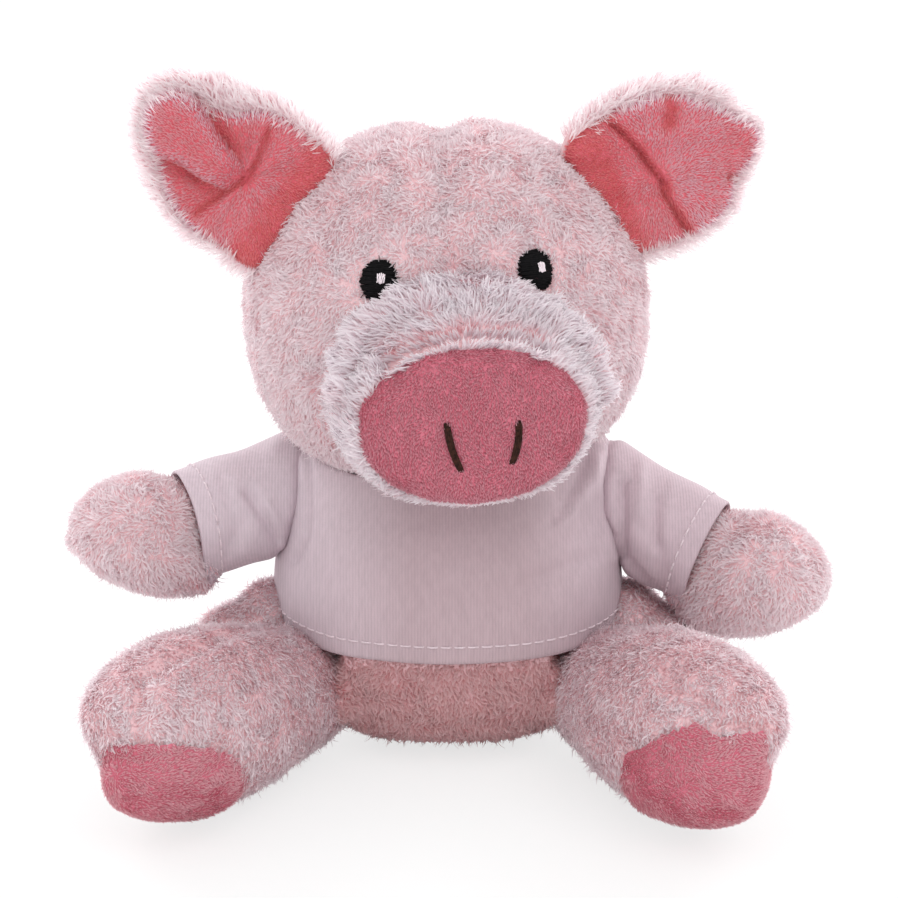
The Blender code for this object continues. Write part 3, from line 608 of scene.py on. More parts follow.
# Stage and camera
WORLD_LIGHT = 0.88
FLOOR_SIZE = 3.0
FLOOR_COLOUR = 0.97
FLOOR_WHITENING = 0.72
LIGHT_TARGET = Vector((0.0, 0.0, 0.07))
LIGHTS = [
    # name, place, size, power
    ("key", (0.35, -0.75, 0.95), 0.9, 3.4),
    ("fill", (-0.8, -0.6, 0.5), 0.9, 1.3),
    ("rim_left", (0.7, 0.75, 0.5), 0.8, 7.0),
    ("rim_right", (-0.7, 0.75, 0.6), 0.8, 7.0),
]


def make_camera():
    data = bpy.data.cameras.new("photo_camera")
    data.sensor_width = SENSOR_WIDTH
    data.lens = SENSOR_WIDTH * FOCAL_PIXELS / IMAGE_WIDTH
    data.shift_y = HORIZON_SHIFT_PIXELS / IMAGE_WIDTH
    camera = added("photo_camera", data)
    camera.location = CAMERA_PLACE
    camera.rotation_euler = (math.radians(90.0) - CAMERA_ELEVATION, 0.0, 0.0)
    bpy.context.scene.camera = camera


def make_stage():
    world = bpy.data.worlds.new("studio")
    bpy.context.scene.world = world
    sky = Nodes(world, "World Output")
    lit, shown = sky.tree.nodes["Background"], sky.add("ShaderNodeBackground")
    for node, strength in ((lit, WORLD_LIGHT), (shown, 1.0)):
        node.inputs["Color"].default_value = linear(1.0)
        node.inputs["Strength"].default_value = strength
    sky.show(sky.seen(), lit, shown)
    corners = [(x * FLOOR_SIZE, y * FLOOR_SIZE, 0.0) for x, y in ((-1, -1), (1, -1), (1, 1), (-1, 1))]
    floor = new_object("floor", corners, [(0, 1, 2, 3)], smooth=False)
    look = Look("floor_white")
    white = look.add("ShaderNodeEmission", [("Color", linear(1.0)), ("Strength", 1.0)])
    look.show(look.math("MULTIPLY", look.seen(), FLOOR_WHITENING), look.shader, white)
    floor.data.materials.append(look.coloured(linear(FLOOR_COLOUR)))
    for name, place, size, power in LIGHTS:
        data = bpy.data.lights.new(name, "AREA")
        data.size, data.energy = size, power
        light = added(name, data)
        light.location = place
        light.rotation_euler = (LIGHT_TARGET - Vector(place)).to_track_quat("-Z", "Y").to_euler()
    bpy.context.scene.view_settings.view_transform = "Standard"


make_camera()
make_stage()

# Colours as the photograph shows them: pile from tip to root, and cloth from pale to deep
FUR = fur_look("plush_pile", (246, 240, 243), (243, 233, 236), (238, 209, 213), PAINTED_CREASE_SHADE)
PALE_FUR = fur_look("plush_pile_long", (247, 244, 247), (244, 239, 243), (239, 219, 223), PAINTED_CREASE_SHADE)
RIM_FUR = fur_look("plush_pile_rim", (255, 253, 254), (254, 250, 251), (250, 232, 236), leak_share=0.65)
# Pile darkened and reddened with painted shade, for the belly between the legs under the shirt
SHADED_BELLY_FUR = fur_look("plush_pile_belly_shaded", (234, 208, 209), (228, 191, 192), (214, 158, 158), PAINTED_CREASE_SHADE)
BACKING = bed_look("plush_bed", (224, 180, 184), (232, 198, 202))
NAP = fur_look("velour_nap", (232, 178, 189), (206, 138, 152), (164, 80, 95))
SOLE_NAP = fur_look("sole_nap", (240, 202, 208), (227, 178, 187), (198, 130, 142))
# Its low end is the red of painted shade and its high end white, for the lining's painted light and shade
LINING_TINTS = ((252, 164, 158), (255, 255, 255))
LINING_NAP = fur_look("ear_nap", (240, 222, 231), (229, 205, 217), (214, 146, 161), tints=LINING_TINTS)
VELOUR_BACK = cloth_look("velour_backing", (206, 120, 136), (190, 98, 115))
LINING_BACK = cloth_look("ear_backing", (214, 112, 124), (200, 88, 98))
# Painted shade and light across the shirt: darker and pinker over the middle, lighter at its sides and on the sleeves
# where light from behind wraps round, partly the pink body showing through the thin jersey
JERSEY_SHADE_TONES = [(-34, (212, 196, 204)), (-8, (191, 169, 175)), (16, (191, 169, 175)), (32, (203, 183, 191))]
JERSEY = jersey_look("white_jersey", JERSEY_SHADE_TONES, 0.84)
WHITE_THREAD = thread_look("white_thread", (248, 238, 243), (232, 218, 224))
HEM_THREAD = thread_look("hem_thread", (228, 212, 218), (212, 195, 201))
BLACK_THREAD = thread_look("black_thread", (18, 16, 18), (6, 6, 7), 0.0)
BROWN_THREAD = thread_look("brown_thread", (64, 38, 30), (34, 20, 16), 0.0)

# Kinds of pile; start and end are how far its roots and tips lie over, in degrees
CURLY = {
    "length": 2.0 * MM, "start": 44.0, "end": 82.0, "radius": 0.185 * MM, "curl": 0.8, "steps": 3, "sink": 0.2 * MM,
}
LONG = dict(CURLY, length=3.4 * MM, start=40.0, curl=0.4)
MUZZLE_PILE = dict(LONG, swirl_size=8 * MM)
EAR_PILE = dict(LONG, length=4.3 * MM, start=24.0, end=66.0, radius=0.15 * MM, curl=0.5)
SEAM_PILE = dict(EAR_PILE, length=2.4 * MM, radius=0.1 * MM)
FUZZ = dict(CURLY, length=2.7 * MM, start=10.0, end=60.0, radius=0.07 * MM, curl=0.5)
VELVET = dict(CURLY, length=0.9 * MM, start=45.0, end=80.0, radius=0.14 * MM, curl=0.2, steps=2, sink=0.05 * MM)
FUZZ_SHARE = 0.07
DOWN_AND_BACK = np.array([0.0, 0.45, -0.75])
TO_THE_FOOT = np.array([0.0, -0.8, -0.3])


def stuffed(name, form, body, nodes, inset=PILE, rounds=6):
    """The backing of a stuffed form: its outline, set in by the length of the pile."""
    points, tris = form
    backing = smooth_points(points - point_normals(points, tris) * inset, tris, rounds)
    backing[:, 2] = np.maximum(backing[:, 2], FLOOR_GAP)
    made = placed(new_object(name, backing, tris, BACKING), body)
    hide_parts(*nodes)
    return backing, tris


def furred(name, form, body, pile, seed, keep, comb, look=FUR, share=None, shade=None, spacing=TUFT_SPACING):
    """Pile on a form, with a comb that leans it, a share of its length and a painted shade that darkens its colour at
    each place.
    """
    places, normals = scatter(form, spacing, seed, keep)
    generator = np.random.default_rng(seed + 500)
    lean = wander(places, pile.get("swirl_size", 6.0 * MM), seed) * 1.1
    lean = lean + wander(places, 2.0 * MM, seed + 40) * 0.5 + generator.normal(0.0, 0.2, lean.shape)
    lean = lean + (comb(places) if callable(comb) else comb)
    lengths = 1.0 + 0.4 * wander(places, 3.2 * MM, seed + 80)[:, 0]
    if share is not None:
        lengths = lengths * share(places, normals)
    tint = 0.25 + 0.75 * generator.random(len(places))
    tint = tint * (1.0 - 0.45 * eased((wander(places, 9.0 * MM, seed + 60)[:, 0] - 0.12) / 0.35))
    # Painted shade, pulling the tufts' tint down towards the painted crease shade
    if shade is not None:
        tint = tint * (1.0 - shade(places, normals))
    placed(strands(name, places, normals, lean, pile, look, seed, lengths, tint), body)
    few = generator.random(len(places)) < FUZZ_SHARE
    fine = lean[few] + generator.normal(0.0, 0.8, (few.sum(), 3))
    fuzz = strands(name + "_fuzz", places[few], normals[few], fine, FUZZ, look, seed + 7, lengths[few], tint[few])
    placed(fuzz, body)


def dished_pad(name, tree, middle, across, up, front, loop, body, nap, seed, lean):
    """A velour pad laid over a stuffed form, with its edge tucked down into the seam."""
    loop = rounded_loop(loop, 1.0 * MM)
    points, tris = filled_loop(loop, 1.0 * MM)
    flat = middle + np.outer(points[:, 0], across) + np.outer(points[:, 1], up)
    made = np.empty_like(flat)
    for k, place in enumerate(flat):
        hit = tree.ray_cast(Vector(place + front * 0.04), Vector(-front))
        made[k] = hit[0] if hit[0] is not None else tree.find_nearest(Vector(place))[0]
    rise = 0.4 * MM - 2.6 * MM * (1.0 - eased(loop_gap(points, loop) / (2.2 * MM)))
    made = made + front * rise[:, None]
    tris = wound(made, tris, front)
    made = smooth_points(made, tris, 4)
    base = placed(new_object(name, made, tris, VELOUR_BACK), body)
    places, normals = scatter((made, tris), NAP_SPACING, seed)
    pile = wander(places, 5 * MM, seed) * 1.2 + lean
    placed(strands(name.replace("velour", "nap"), places, normals, pile, VELVET, nap, seed), body)
    return base, tree_of(made, tris)


def sewn(name, parts, look, body, slot, *nodes):
    """Threads as one piece, with the CAD nodes that it stands for."""
    made = placed(new_object(name, *joined_parts(parts), look), body)
    if nodes:
        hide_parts(*nodes)


# Head
EYES = {side: box_centre("eye_" + side) for side in SIDES}
EYE_HALF = (3.9 * MM, 4.5 * MM)
EYE_WAYS = {"left": Vector((0.400, -0.847, 0.350)), "right": Vector((-0.261, -0.911, 0.321))}
NOSE = box_centre("nose_pad")
NOSE_ACROSS, NOSE_UP, NOSE_FRONT = (HEAD_TURN @ Vector(way) for way in ((1, 0, 0), (0, 0, 1), (0, -1, 0)))
NOSE_HALF = (24.0 * MM, 16.6 * MM)
HEAD_NODES = ["head_skin", "head_filling"]

head_form = outer_form(HEAD_NODES, 24)
points = head_form[0]
crown = eased((points[:, 2] - 112 * MM) / (24 * MM))
points[:, 2] += crown * (1.8 - 1.8 * bell(points[:, 0] + 1 * MM, 4 * MM)) * MM
head_tree = tree_of(*head_form)
head_back = stuffed("head_plush", head_form, "head", HEAD_NODES)


def eye_gap(places):
    return np.min([np.linalg.norm(places - np.array(centre), axis=1) for centre in EYES.values()], axis=0)


def eye_clear(places, normals):
    return eye_gap(places) > 4.3 * MM


def eye_share(places, normals):
    """Shorter pile around the eyes."""
    return 0.5 + 0.5 * eased((eye_gap(places) - 4.5 * MM) / (4.0 * MM))


# Muzzle
MUZZLE_CREASE = [(384, 362), (406, 346), (426, 340), (454, 333), (483, 331), (512, 331), (531, 337), (543, 345)]
MUZZLE_ROLL = [
    (346, 392), (352, 362), (364, 336), (382, 318), (408, 307), (434, 301), (462, 298), (490, 298), (517, 302),
    (541, 312), (563, 332), (584, 358), (596, 388),
]
MUZZLE_NODES = ["muzzle_skin", "muzzle_filling"]
face_tree = tree_of(*outer_form(["head_skin", "muzzle_skin", "nose_pad"], 10))
puffs = []
for number, pixel in enumerate(MUZZLE_ROLL):
    place, normal = photo_hit(face_tree, *pixel)
    size = min(3.6 + 1.1 * min(number, len(MUZZLE_ROLL) - 1 - number), 7.2)
    puffs.append(((place - normal * (size - 4.4) * MM) / MM, (size, size, size)))
muzzle_form = outer_form(MUZZLE_NODES + ["nose_pad"], 20, 1.0 * MM, puffs)
muzzle_form = pressed(muzzle_form, [(MUZZLE_ROLL, -0.8 * MM, 22.0), (MUZZLE_CREASE, 4.6 * MM, 6.5)])
muzzle_back = stuffed("muzzle_plush", muzzle_form, "head", MUZZLE_NODES, 1.4 * MM, 3)
muzzle_back_tree = tree_of(*muzzle_back)


def nose_place(places):
    """Where places lie in the nose pad's own plane, across and up."""
    gap = np.asarray(places) - np.array(NOSE)
    return gap @ np.array(NOSE_ACROSS), gap @ np.array(NOSE_UP)


def around_the_pad(places, normals):
    x, z = nose_place(places)
    on_pad = np.hypot(x / NOSE_HALF[0], z / NOSE_HALF[1]) < 0.97
    return ~((normals @ np.array(NOSE_FRONT) > 0.5) & on_pad) & eye_clear(places, normals)


def swept_out(places):
    """Outwards from the pad, and brushed sideways from the middle of the bridge."""
    x, z = nose_place(places)
    out = np.outer(x / NOSE_HALF[0], np.array(NOSE_ACROSS)) + np.outer(z / NOSE_HALF[1], np.array(NOSE_UP))
    return unit(out) * 1.2 + np.outer(np.tanh(x / (6 * MM)), np.array(NOSE_ACROSS)) * 0.5


def short_below(places, normals):
    x, z = nose_place(places)
    low = 1.0 - 0.5 * eased((-z - 8 * MM) / (6 * MM)) * eased((14 * MM - np.abs(x)) / (8 * MM))
    near = bell(lines_gap(places, [MUZZLE_CREASE]), 6.0)
    return low * (1.0 - 0.6 * near * facing(normals)) * eye_share(places, normals)


# Painted shade along the fold above the nose pad, under the muzzle's roll
def pad_crease_shade(places, normals):
    return 0.9 * bell(lines_gap(places, [MUZZLE_CREASE]), 5.5) * facing(normals)


# Painted shade on the head's pile where it meets the muzzle
def muzzle_edge_shade(places, normals):
    gaps = [muzzle_back_tree.find_nearest(Vector(p), 8 * MM)[3] or 8 * MM for p in places]
    return 0.75 * bell(np.array(gaps), 2.4 * MM)


furred(
    "muzzle_fur", muzzle_back, "head", MUZZLE_PILE, 2, around_the_pad, swept_out, PALE_FUR, short_below, pad_crease_shade
)
furred("head_fur", head_back, "head", CURLY, 1, eye_clear, DOWN_AND_BACK, share=eye_share, shade=muzzle_edge_shade)

# Nose pad, a little squarer than an ellipse
angles = around(40)
nose_loop = [
    np.sign(f(angles)) * np.abs(f(angles)) ** (2 / 2.15) * half for f, half in zip((np.cos, np.sin), NOSE_HALF)
]
nose_base, nose_tree = dished_pad(
    "nose_velour", tree_of(*muzzle_form), *(np.array(v) for v in (NOSE, NOSE_ACROSS, NOSE_UP, NOSE_FRONT)),
    np.stack(nose_loop, axis=1), "head", NAP, 31, np.array([0.1, 0.0, -0.8]),
)
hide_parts("nose_pad")

# Nostrils, as three threads side by side, each from a top to a bottom in millimetres
NOSTRILS = {"left": ((8.8, 2.0), (7.1, -7.0)), "right": ((-6.0, 2.6), (-3.4, -7.9))}
for side, (top, bottom) in NOSTRILS.items():
    parts = []
    for k in (-1, 0, 1):
        line = []
        for share in np.linspace(0, 1, 9):
            x = (top[0] * (1 - share) + bottom[0] * share + k * 0.42 * (1 - 0.25 * abs(2 * share - 1) ** 3)) * MM
            z = (top[1] * (1 - share) + bottom[1] * share) * MM
            x += math.sin(share * math.pi) * 0.5 * MM * SIDES[side]
            place = NOSE + NOSE_ACROSS * x + NOSE_UP * z
            hit = nose_tree.ray_cast(place + NOSE_FRONT * 0.03, -NOSE_FRONT)
            sink = 0.15 - 0.7 * (2 * share - 1) ** 6
            line.append(np.array(hit[0] + NOSE_FRONT * (0.45 + sink) * MM))
        parts.append(tube(line, 0.36 * MM))
    sewn("nostril_thread_" + side, parts, BROWN_THREAD, "head", "brown_thread", "nostril_stitch_" + side)

# Eyes, satin stitched
for number, side in enumerate(SIDES):
    generator = np.random.default_rng(50 + number)
    out = EYE_WAYS[side].normalized()
    across = Vector((-out.y, out.x, 0.0)).normalized()
    up = out.cross(across).normalized()
    centre = EYES[side] + out * 0.6 * MM + up * 1.1 * MM

    def on_eye(x, z, lift):
        bulge = 1.3 * MM * (1 - min((x / EYE_HALF[0]) ** 2 + (z / EYE_HALF[1]) ** 2, 1.2))
        return np.array(centre + across * x + up * z + out * (bulge - 1.4 * MM + lift))

    parts = []
    for z in np.linspace(-EYE_HALF[1], EYE_HALF[1], 21)[1:-1]:
        half = EYE_HALF[0] * math.sqrt(max(1 - (z / EYE_HALF[1]) ** 2, 0.0)) + generator.normal(0, 0.18 * MM)
        tilt = generator.normal(0, 0.1 * MM)
        line = [on_eye(x, z + tilt * x / half, 0.0) for x in np.linspace(-half, half, 9)]
        parts.append(tube(line, 0.36 * MM, 6))
    for _ in range(10):
        angle = generator.random() * 2 * math.pi
        start = np.array([math.cos(angle) * EYE_HALF[0], math.sin(angle) * EYE_HALF[1]]) * 0.85
        end = start * (1.2 + 0.25 * generator.random()) + generator.normal(0, 0.3 * MM, 2)
        line = [on_eye(*at, lift * MM) for at, lift in ((start, 0.1), ((start + end) / 2, 0.9), (end, 0.8))]
        parts.append(tube(line, 0.09 * MM, 5))
    sewn("eye_thread_" + side, parts, BLACK_THREAD, "head", "black_thread", "eye_" + side)
    parts = []
    for k in range(5):
        x = (0.9 + (k - 2) * 0.33) * MM
        half = (1.1 - 0.12 * abs(k - 2)) * MM
        rises = np.linspace(-half, half, 6)
        line = [on_eye(x + generator.normal(0, 0.05 * MM), 0.3 * MM + z, 0.42 * MM) for z in rises]
        parts.append(tube(line, 0.17 * MM, 6))
    sewn("eye_glint_" + side, parts, WHITE_THREAD, "head", "white_thread", "eye_highlight_" + side)

# Ears, drawn in the plane of each ear in millimetres, across it and out from its joint
EARS = {
    "right": {
        "joint": (-37.22, -11.23, 123.9), "out": (-0.7909, 0.0575, 0.6093), "across": (-0.6119, -0.0589, -0.7887),
        "lining": [
            (-12, -6), (-15.5, -3.5), (-16.6, 0), (-17.2, 4), (-17.5, 8.3), (-17.1, 12.2), (-16, 15.6), (-14, 18.2),
            (-11, 20.8), (-9.4, 24.6), (-9.6, 29.4), (-8.5, 33), (-6.2, 35.4), (-2.9, 36.9), (0.8, 36.4), (4.5, 33.1),
            (7.2, 28.5), (10.2, 24.6), (12.9, 21.2), (14.3, 18), (15.1, 14.3), (14.8, 9.9), (14.1, 5.8), (13.9, 2.2),
            (13.7, -2.5), (11, -6),
        ],
        "rim": [
            (-13, -7), (-16.8, -4), (-18.4, 1), (-19.3, 8.3), (-18.5, 15), (-17.6, 19.5), (-15.2, 25), (-13.4, 29.5),
            (-11.2, 34.6), (-6.6, 38.6), (-0.6, 38.9), (4.4, 36.6), (8.6, 31.8), (12.6, 26), (15.2, 20.5),
            (16.2, 14.6), (15.6, 9), (14.9, 3.4), (14.6, -3), (12, -7),
        ],
    },
    "left": {
        "joint": (34.78, -4.3, 127.06), "out": (0.8898, 0.2496, 0.3821), "across": (-0.3855, -0.0371, 0.922),
        "lining": [
            (10, -6.5), (12.5, -5.2), (14.2, -2.5), (15.4, 2.8), (15.9, 6.1), (16.5, 10.9), (16.1, 14.7), (14.9, 19.5),
            (13.5, 22.4), (10.3, 26.6), (6.8, 30), (3.6, 33.2), (0.3, 36.3), (-2.9, 36.8), (-5.4, 35.4), (-7.7, 33.5),
            (-9.5, 31.1), (-10.2, 28.2), (-12, 27.2), (-14, 26.1), (-15.8, 24.2), (-17.4, 20.8), (-18, 17),
            (-17.7, 12.6), (-17.2, 8), (-16.8, 4.1), (-16.1, 0), (-13, -5),
        ],
        "rim": [
            (11, -7.5), (14.2, -5), (16, -2), (18, 4), (18.4, 11.5), (17.6, 18.3), (16.2, 23.4), (12.4, 30.4),
            (8, 33.4), (3.4, 35.3), (-2.8, 37.6), (-7, 35.8), (-9.4, 33.2), (-11.4, 29.6), (-14.8, 27.4),
            (-16.6, 24.8), (-18.3, 21), (-18.9, 14), (-18.2, 6), (-17, -0.5), (-14, -6),
        ],
    },
}
TONGUE = [
    (-5.2, 36.6), (-8, 34), (-9, 30.5), (-8.4, 27.1), (-7.4, 24.4), (-6.4, 21.8), (-5.4, 19.2), (-4.6, 16.4),
    (-3.7, 13.2), (-1.4, 10.8), (0.7, 10.6), (2.3, 11.4), (3, 13.2), (3.5, 15.6), (4, 17.8), (4.1, 21.1),
    (4.5, 23.9), (5.4, 26.2), (6.4, 28.3), (6.4, 31), (4.8, 33.6), (1.2, 36.3), (-2.1, 37.2),
]
TONGUE_LOOP = rounded_loop(TONGUE, 0.6)
GATHER = np.array([-1.9, 10.2])
PLEAT = np.array([
    (17, 5), (15, 5.8), (10.1, 8), (5.6, 9.6), (2, 10.4), (-2.4, 11.6), (-7.1, 11.4), (-11.4, 12.2), (-18.4, 13.6),
])
SLITS = {
    # line, depth, width, and the shares of its length where it starts and ends
    "right": [
        ([(-13.3, 12.6), (-10, 11.5), (-6.3, 10.6), (-2.6, 9.9)], 1.1, 0.75, (-0.1, 1.3)),
        ([(-1.4, 10.1), (2.1, 11.4), (6.3, 12.6), (9.5, 13.7), (14.1, 13.6)], 1.1, 0.75, (-0.5, 1)),
    ],
    "left": [
        ([(13.7, 20.5), (10.4, 19.6), (7.1, 16.8), (3.3, 14.4)], 1.5, 1.5, (-0.3, 0.8)),
        ([(-8.1, 24.9), (-10.6, 28.4)], 1.4, 0.9, (0, 1.5)),
    ],
}


def domed(values):
    """Rises steeply from 0 and rounds off at 1."""
    return np.sqrt(np.clip(1 - (1 - np.clip(values, 0, 1)) ** 2, 0, 1))


def slit_depth(at, line, depth, width, span):
    gap, share = line_gap(at, line)
    return -depth * bell(gap, width) * (eased((share - span[0]) / 0.18) * eased((span[1] - share) / 0.3))


def beyond_the_pleat(at):
    return at[:, 1] > np.interp(-at[:, 0], -PLEAT[:, 0], PLEAT[:, 1])


def beside_the_tongue(at, within, width):
    return bell(np.clip(-within, 0, None), width) * eased((at[:, 1] - 11.0) / 4.0)


def lining_relief(side, at, edge):
    """How far the ear's lining stands to the front, in millimetres."""
    rise = 1.2 * eased(edge / 5.0) - 1.6 * (1 - eased(edge / 1.6))
    for line, depth, width, span in SLITS[side]:
        rise = rise + slit_depth(at, line, depth, width, span)
    if side == "right":
        within = loop_gap(at, TONGUE_LOOP)
        rise = rise + np.where(within > 0, 0.8 + 3.2 * domed(within / 3.6) * eased((at[:, 1] - 9.5) / 7.0), 0.0)
        deep = beside_the_tongue(at, within, 3.2) * eased((33 - at[:, 1]) / 6)
        rise = rise - np.where(within <= 0, 0.9 * deep * eased(edge / 2.5), 0.0)
        from_gather = at - GATHER
        turn = np.arctan2(from_gather[:, 0], from_gather[:, 1])
        far = np.linalg.norm(from_gather, axis=1)
        return rise + np.where(within <= 0, 0.3 * np.sin(turn * 9.0 + 0.5) * eased(far / 6.0), 0.0)
    gap, _ = line_gap(at, PLEAT)
    fold = np.where(beyond_the_pleat(at), 2.0 * np.exp(-gap / 9.0) * eased(gap / 1.4 + 0.3), -0.9 * bell(gap, 0.9))
    rise = rise + fold * eased(edge / 2.0)
    rise = rise + 1.6 * np.exp(-(((at[:, 0] + 3.5) / 5) ** 2 + ((at[:, 1] - 34) / 5) ** 2))
    return rise + 0.3 * np.sin(at[:, 0] * 0.75 + at[:, 1] * 0.2) * eased(edge / 4)


def lining_light_and_shade(side, at, edge):
    """How pale the lining's nap is painted: painted shade in its folds, slits and pockets, a red painted glow and shade
    at its root by the head, and painted sheen along its edge, on the tongue's sides and beyond the pleat.
    """
    pale = 0.5 + 0.7 * (1 - eased(edge / 4.0)) * eased((at[:, 1] - 6.0) / 8.0)
    pale = pale - 0.5 * (1 - eased((at[:, 1] - 1.0) / 5.0))
    for line, depth, width, span in SLITS[side]:
        pale = pale + 0.5 * slit_depth(at, line, depth, width * 1.4, span)
    if side == "right":
        within = loop_gap(at, TONGUE_LOOP)
        deep = beside_the_tongue(at, within, 3.5)
        return pale + np.where(within > 0, 0.3 * bell(within - 1.4, 1.5) - 0.05, -0.5 * deep)
    gap, _ = line_gap(at, PLEAT)
    pale = pale + np.where(beyond_the_pleat(at), 0.15, -0.05) - 0.75 * bell(gap, 1.2)
    return pale - 0.25 * np.exp(-(((at[:, 0] + 3.5) / 5) ** 2 + ((at[:, 1] - 32) / 4) ** 2))


def make_ear(side, number):
    ear = EARS[side]
    joint = np.array(ear["joint"]) * MM
    out, across = (unit(np.array(ear[key])) for key in ("out", "across"))
    front = np.cross(out, across)
    body = "ear_" + side

    def to_world(at, ahead):
        return joint + np.outer(at[:, 0], across) * MM + np.outer(at[:, 1], out) * MM + np.outer(ahead, front) * MM

    def in_plane(places):
        gap = places - joint
        return np.stack([gap @ across, gap @ out], axis=1)

    def away_from(places, start):
        way = unit(in_plane(places) - start * MM)
        return way[:, :1] * across + way[:, 1:] * out

    # Plush panel, closed around its rim
    rim = rounded_loop(ear["rim"], 1.0)
    at, tris = filled_loop(rim, 1.0)
    edge = loop_gap(at, rim)
    every = np.concatenate([to_world(at, 0.2 + 0.6 * domed(edge / 2.6)), to_world(at, -0.2 - 1.9 * domed(edge / 2.6))])
    back_index = np.arange(len(at)) + np.where(edge < 0.05, 0, len(at))
    tris = wound(every, tris, front)
    used, index = np.unique(np.concatenate([tris, back_index[tris][:, ::-1]]), return_inverse=True)
    panel = every[used], index.reshape(-1, 3)
    base = placed(new_object("ear_plush_" + side, *panel, BACKING), body)
    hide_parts("ear_fur_" + side)
    lining_loop = rounded_loop(ear["lining"], 0.6)

    def not_under_lining(places, normals):
        at = in_plane(places) / MM
        return ~((normals @ front > 0.15) & (loop_gap(at, lining_loop) > 0.4)) & (at[:, 1] > -4)

    def outwards(places):
        return away_from(places, np.array([0.0, -10.0])) * 1.2

    pile_name = "ear_fur_pile_" + side
    furred(pile_name, panel, body, EAR_PILE, 60 + number, not_under_lining, outwards, RIM_FUR, spacing=EAR_SPACING)

    # Velour lining with its nap, and pile brushed over its edge
    at, tris = filled_loop(lining_loop, 0.55)
    lining = to_world(at, np.maximum(2.7 + lining_relief(side, at, loop_gap(at, lining_loop)), 1.2))
    tris = wound(lining, tris, front)
    made = placed(new_object("ear_velour_" + side, lining, tris, LINING_BACK), body)
    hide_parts("ear_lining_" + side)
    seed = 70 + number
    places, normals = scatter((lining, tris), NAP_SPACING, seed)
    lean = away_from(places, GATHER) + wander(places, 3 * MM, seed) * 0.6
    at = in_plane(places) / MM
    edge = loop_gap(at, lining_loop)
    tint = lining_light_and_shade(side, at, edge) + wander(places, 3 * MM, seed + 20)[:, 0] * 0.15
    nap = strands("ear_nap_" + side, places, normals, lean, VELVET, LINING_NAP, seed, tint=tint)
    placed(nap, body)
    near = (edge < 3.4 * np.random.default_rng(seed + 25).random(len(at)) ** 1.6) & (at[:, 1] > 2.0)
    over = strands("ear_seam_pile_" + side, places[near], normals[near], lean[near], SEAM_PILE, RIM_FUR, seed + 27)
    placed(over, body)


for number, side in enumerate(SIDES):
    make_ear(side, number)

# Body and tail
GROINS = [[(290, 613), (310, 635), (328, 661), (333, 690)], [(598, 618), (575, 640), (556, 665), (549, 690)]]
GROIN_LUMPS = [((25.0 * turn, -28.0, 17.0), (6.0, 8.0, 8.0)) for turn in SIDES.values()]
BODY_NODES = ["body_skin", "body_filling"]
body_back = stuffed("body_plush", outer_form(BODY_NODES, 24, lumps=GROIN_LUMPS), "torso", BODY_NODES)


# Painted shade in the folds where the legs meet the belly
def groin_shade(places, normals):
    return 0.7 * bell(lines_gap(places, GROINS), 9.0)


def short_under_the_hem(places, normals):
    return 1.0 - 0.65 * eased((places[:, 2] - 25 * MM) / (4 * MM))


def at_the_belly(places, normals):
    """Whether the pile is between the legs, where its colour is darkened with painted shade."""
    return (places[:, 2] < 36 * MM) & (places[:, 1] + wander(places, 3 * MM, 12)[:, 0] * 5 * MM < -20 * MM)


def off_the_belly(places, normals):
    return (places[:, 2] < 36 * MM) & ~at_the_belly(places, normals)


for name, seed, keep, look in (("belly_fur_shaded", 3, at_the_belly, SHADED_BELLY_FUR), ("body_fur", 4, off_the_belly, FUR)):
    furred(name, body_back, "torso", CURLY, seed, keep, DOWN_AND_BACK, look, short_under_the_hem, groin_shade)
tail_form = outer_form(["tail"], 22, 0.6 * MM)
tail_base = placed(new_object("tail_velour", *tail_form, VELOUR_BACK), "tail")
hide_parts("tail")
places, normals = scatter(tail_form, NAP_SPACING, 81)
lean = wander(places, 4 * MM, 81) + [0, 0.4, -0.6]
placed(strands("tail_nap", places, normals, lean, VELVET, NAP, 81), "tail")

# Arms and legs
SHOULDERS = {"left": Vector((0.041, -0.004, 0.051)), "right": Vector((-0.041, -0.004, 0.054))}
ARM_WAYS = {"left": Vector((0.8818, -0.3563, -0.309)), "right": Vector((-0.9203, -0.3718, -0.1219))}
FOOT_WIDTH = {"left": 60.0 * MM, "right": 67.0 * MM}
HAUNCH = [((41.0, -8.0, 25.0), (10.0, 14.0, 12.0)), ((50.0, -12.0, 23.0), (9.0, 14.0, 9.0))]
CHANNELS = {
    "right": [[(256, 617), (221, 633), (185, 649), (165, 658), (140, 676), (137, 715), (140, 742)]],
    "left": [[(662, 665), (674, 690), (712, 701)], [(714, 724), (740, 722), (768, 724)]],
}
SOLES = {
    # seen: the upper edge as the photograph shows it; below: the rest in the sole's plane, in millimetres
    "left": {
        "middle": (56.8, -73.4, 19.9), "front": (0.1475, -0.6798, -0.7184), "across": (0.9891, 0.1014, 0.1072),
        "seen": [
            (616, 800), (616, 790), (622, 765), (637, 754), (660, 740), (685, 731), (703, 726), (721, 724),
            (745, 724), (764, 727), (772, 751), (768, 770),
        ],
        "below": [(12.8, -8), (8.6, -13.6), (2, -16.6), (-6, -17.2), (-14, -16)],
    },
    "right": {
        "middle": (-63.6, -69.3, 19.1), "front": (-0.2410, -0.6045, -0.7593), "across": (0.9705, -0.1501, -0.1885),
        "seen": [
            (99, 770), (100, 750), (131, 745), (167, 749), (190, 755), (212, 756), (230, 763), (246, 779), (250, 792),
            (246, 808),
        ],
        "below": [(17, -12), (13, -15), (4, -17.4), (-5, -16.4), (-10.5, -11)],
    },
}


def about_the_arm(places, side):
    """Distance along the arm from its shoulder, distance from its axis, and depth below the axis."""
    way = np.array(ARM_WAYS[side].normalized())
    gap = places - np.array(SHOULDERS[side])
    along = gap @ way
    off = gap - np.outer(along, way)
    return along, np.linalg.norm(off, axis=1), np.clip(-off[:, 2], 0.0, None)


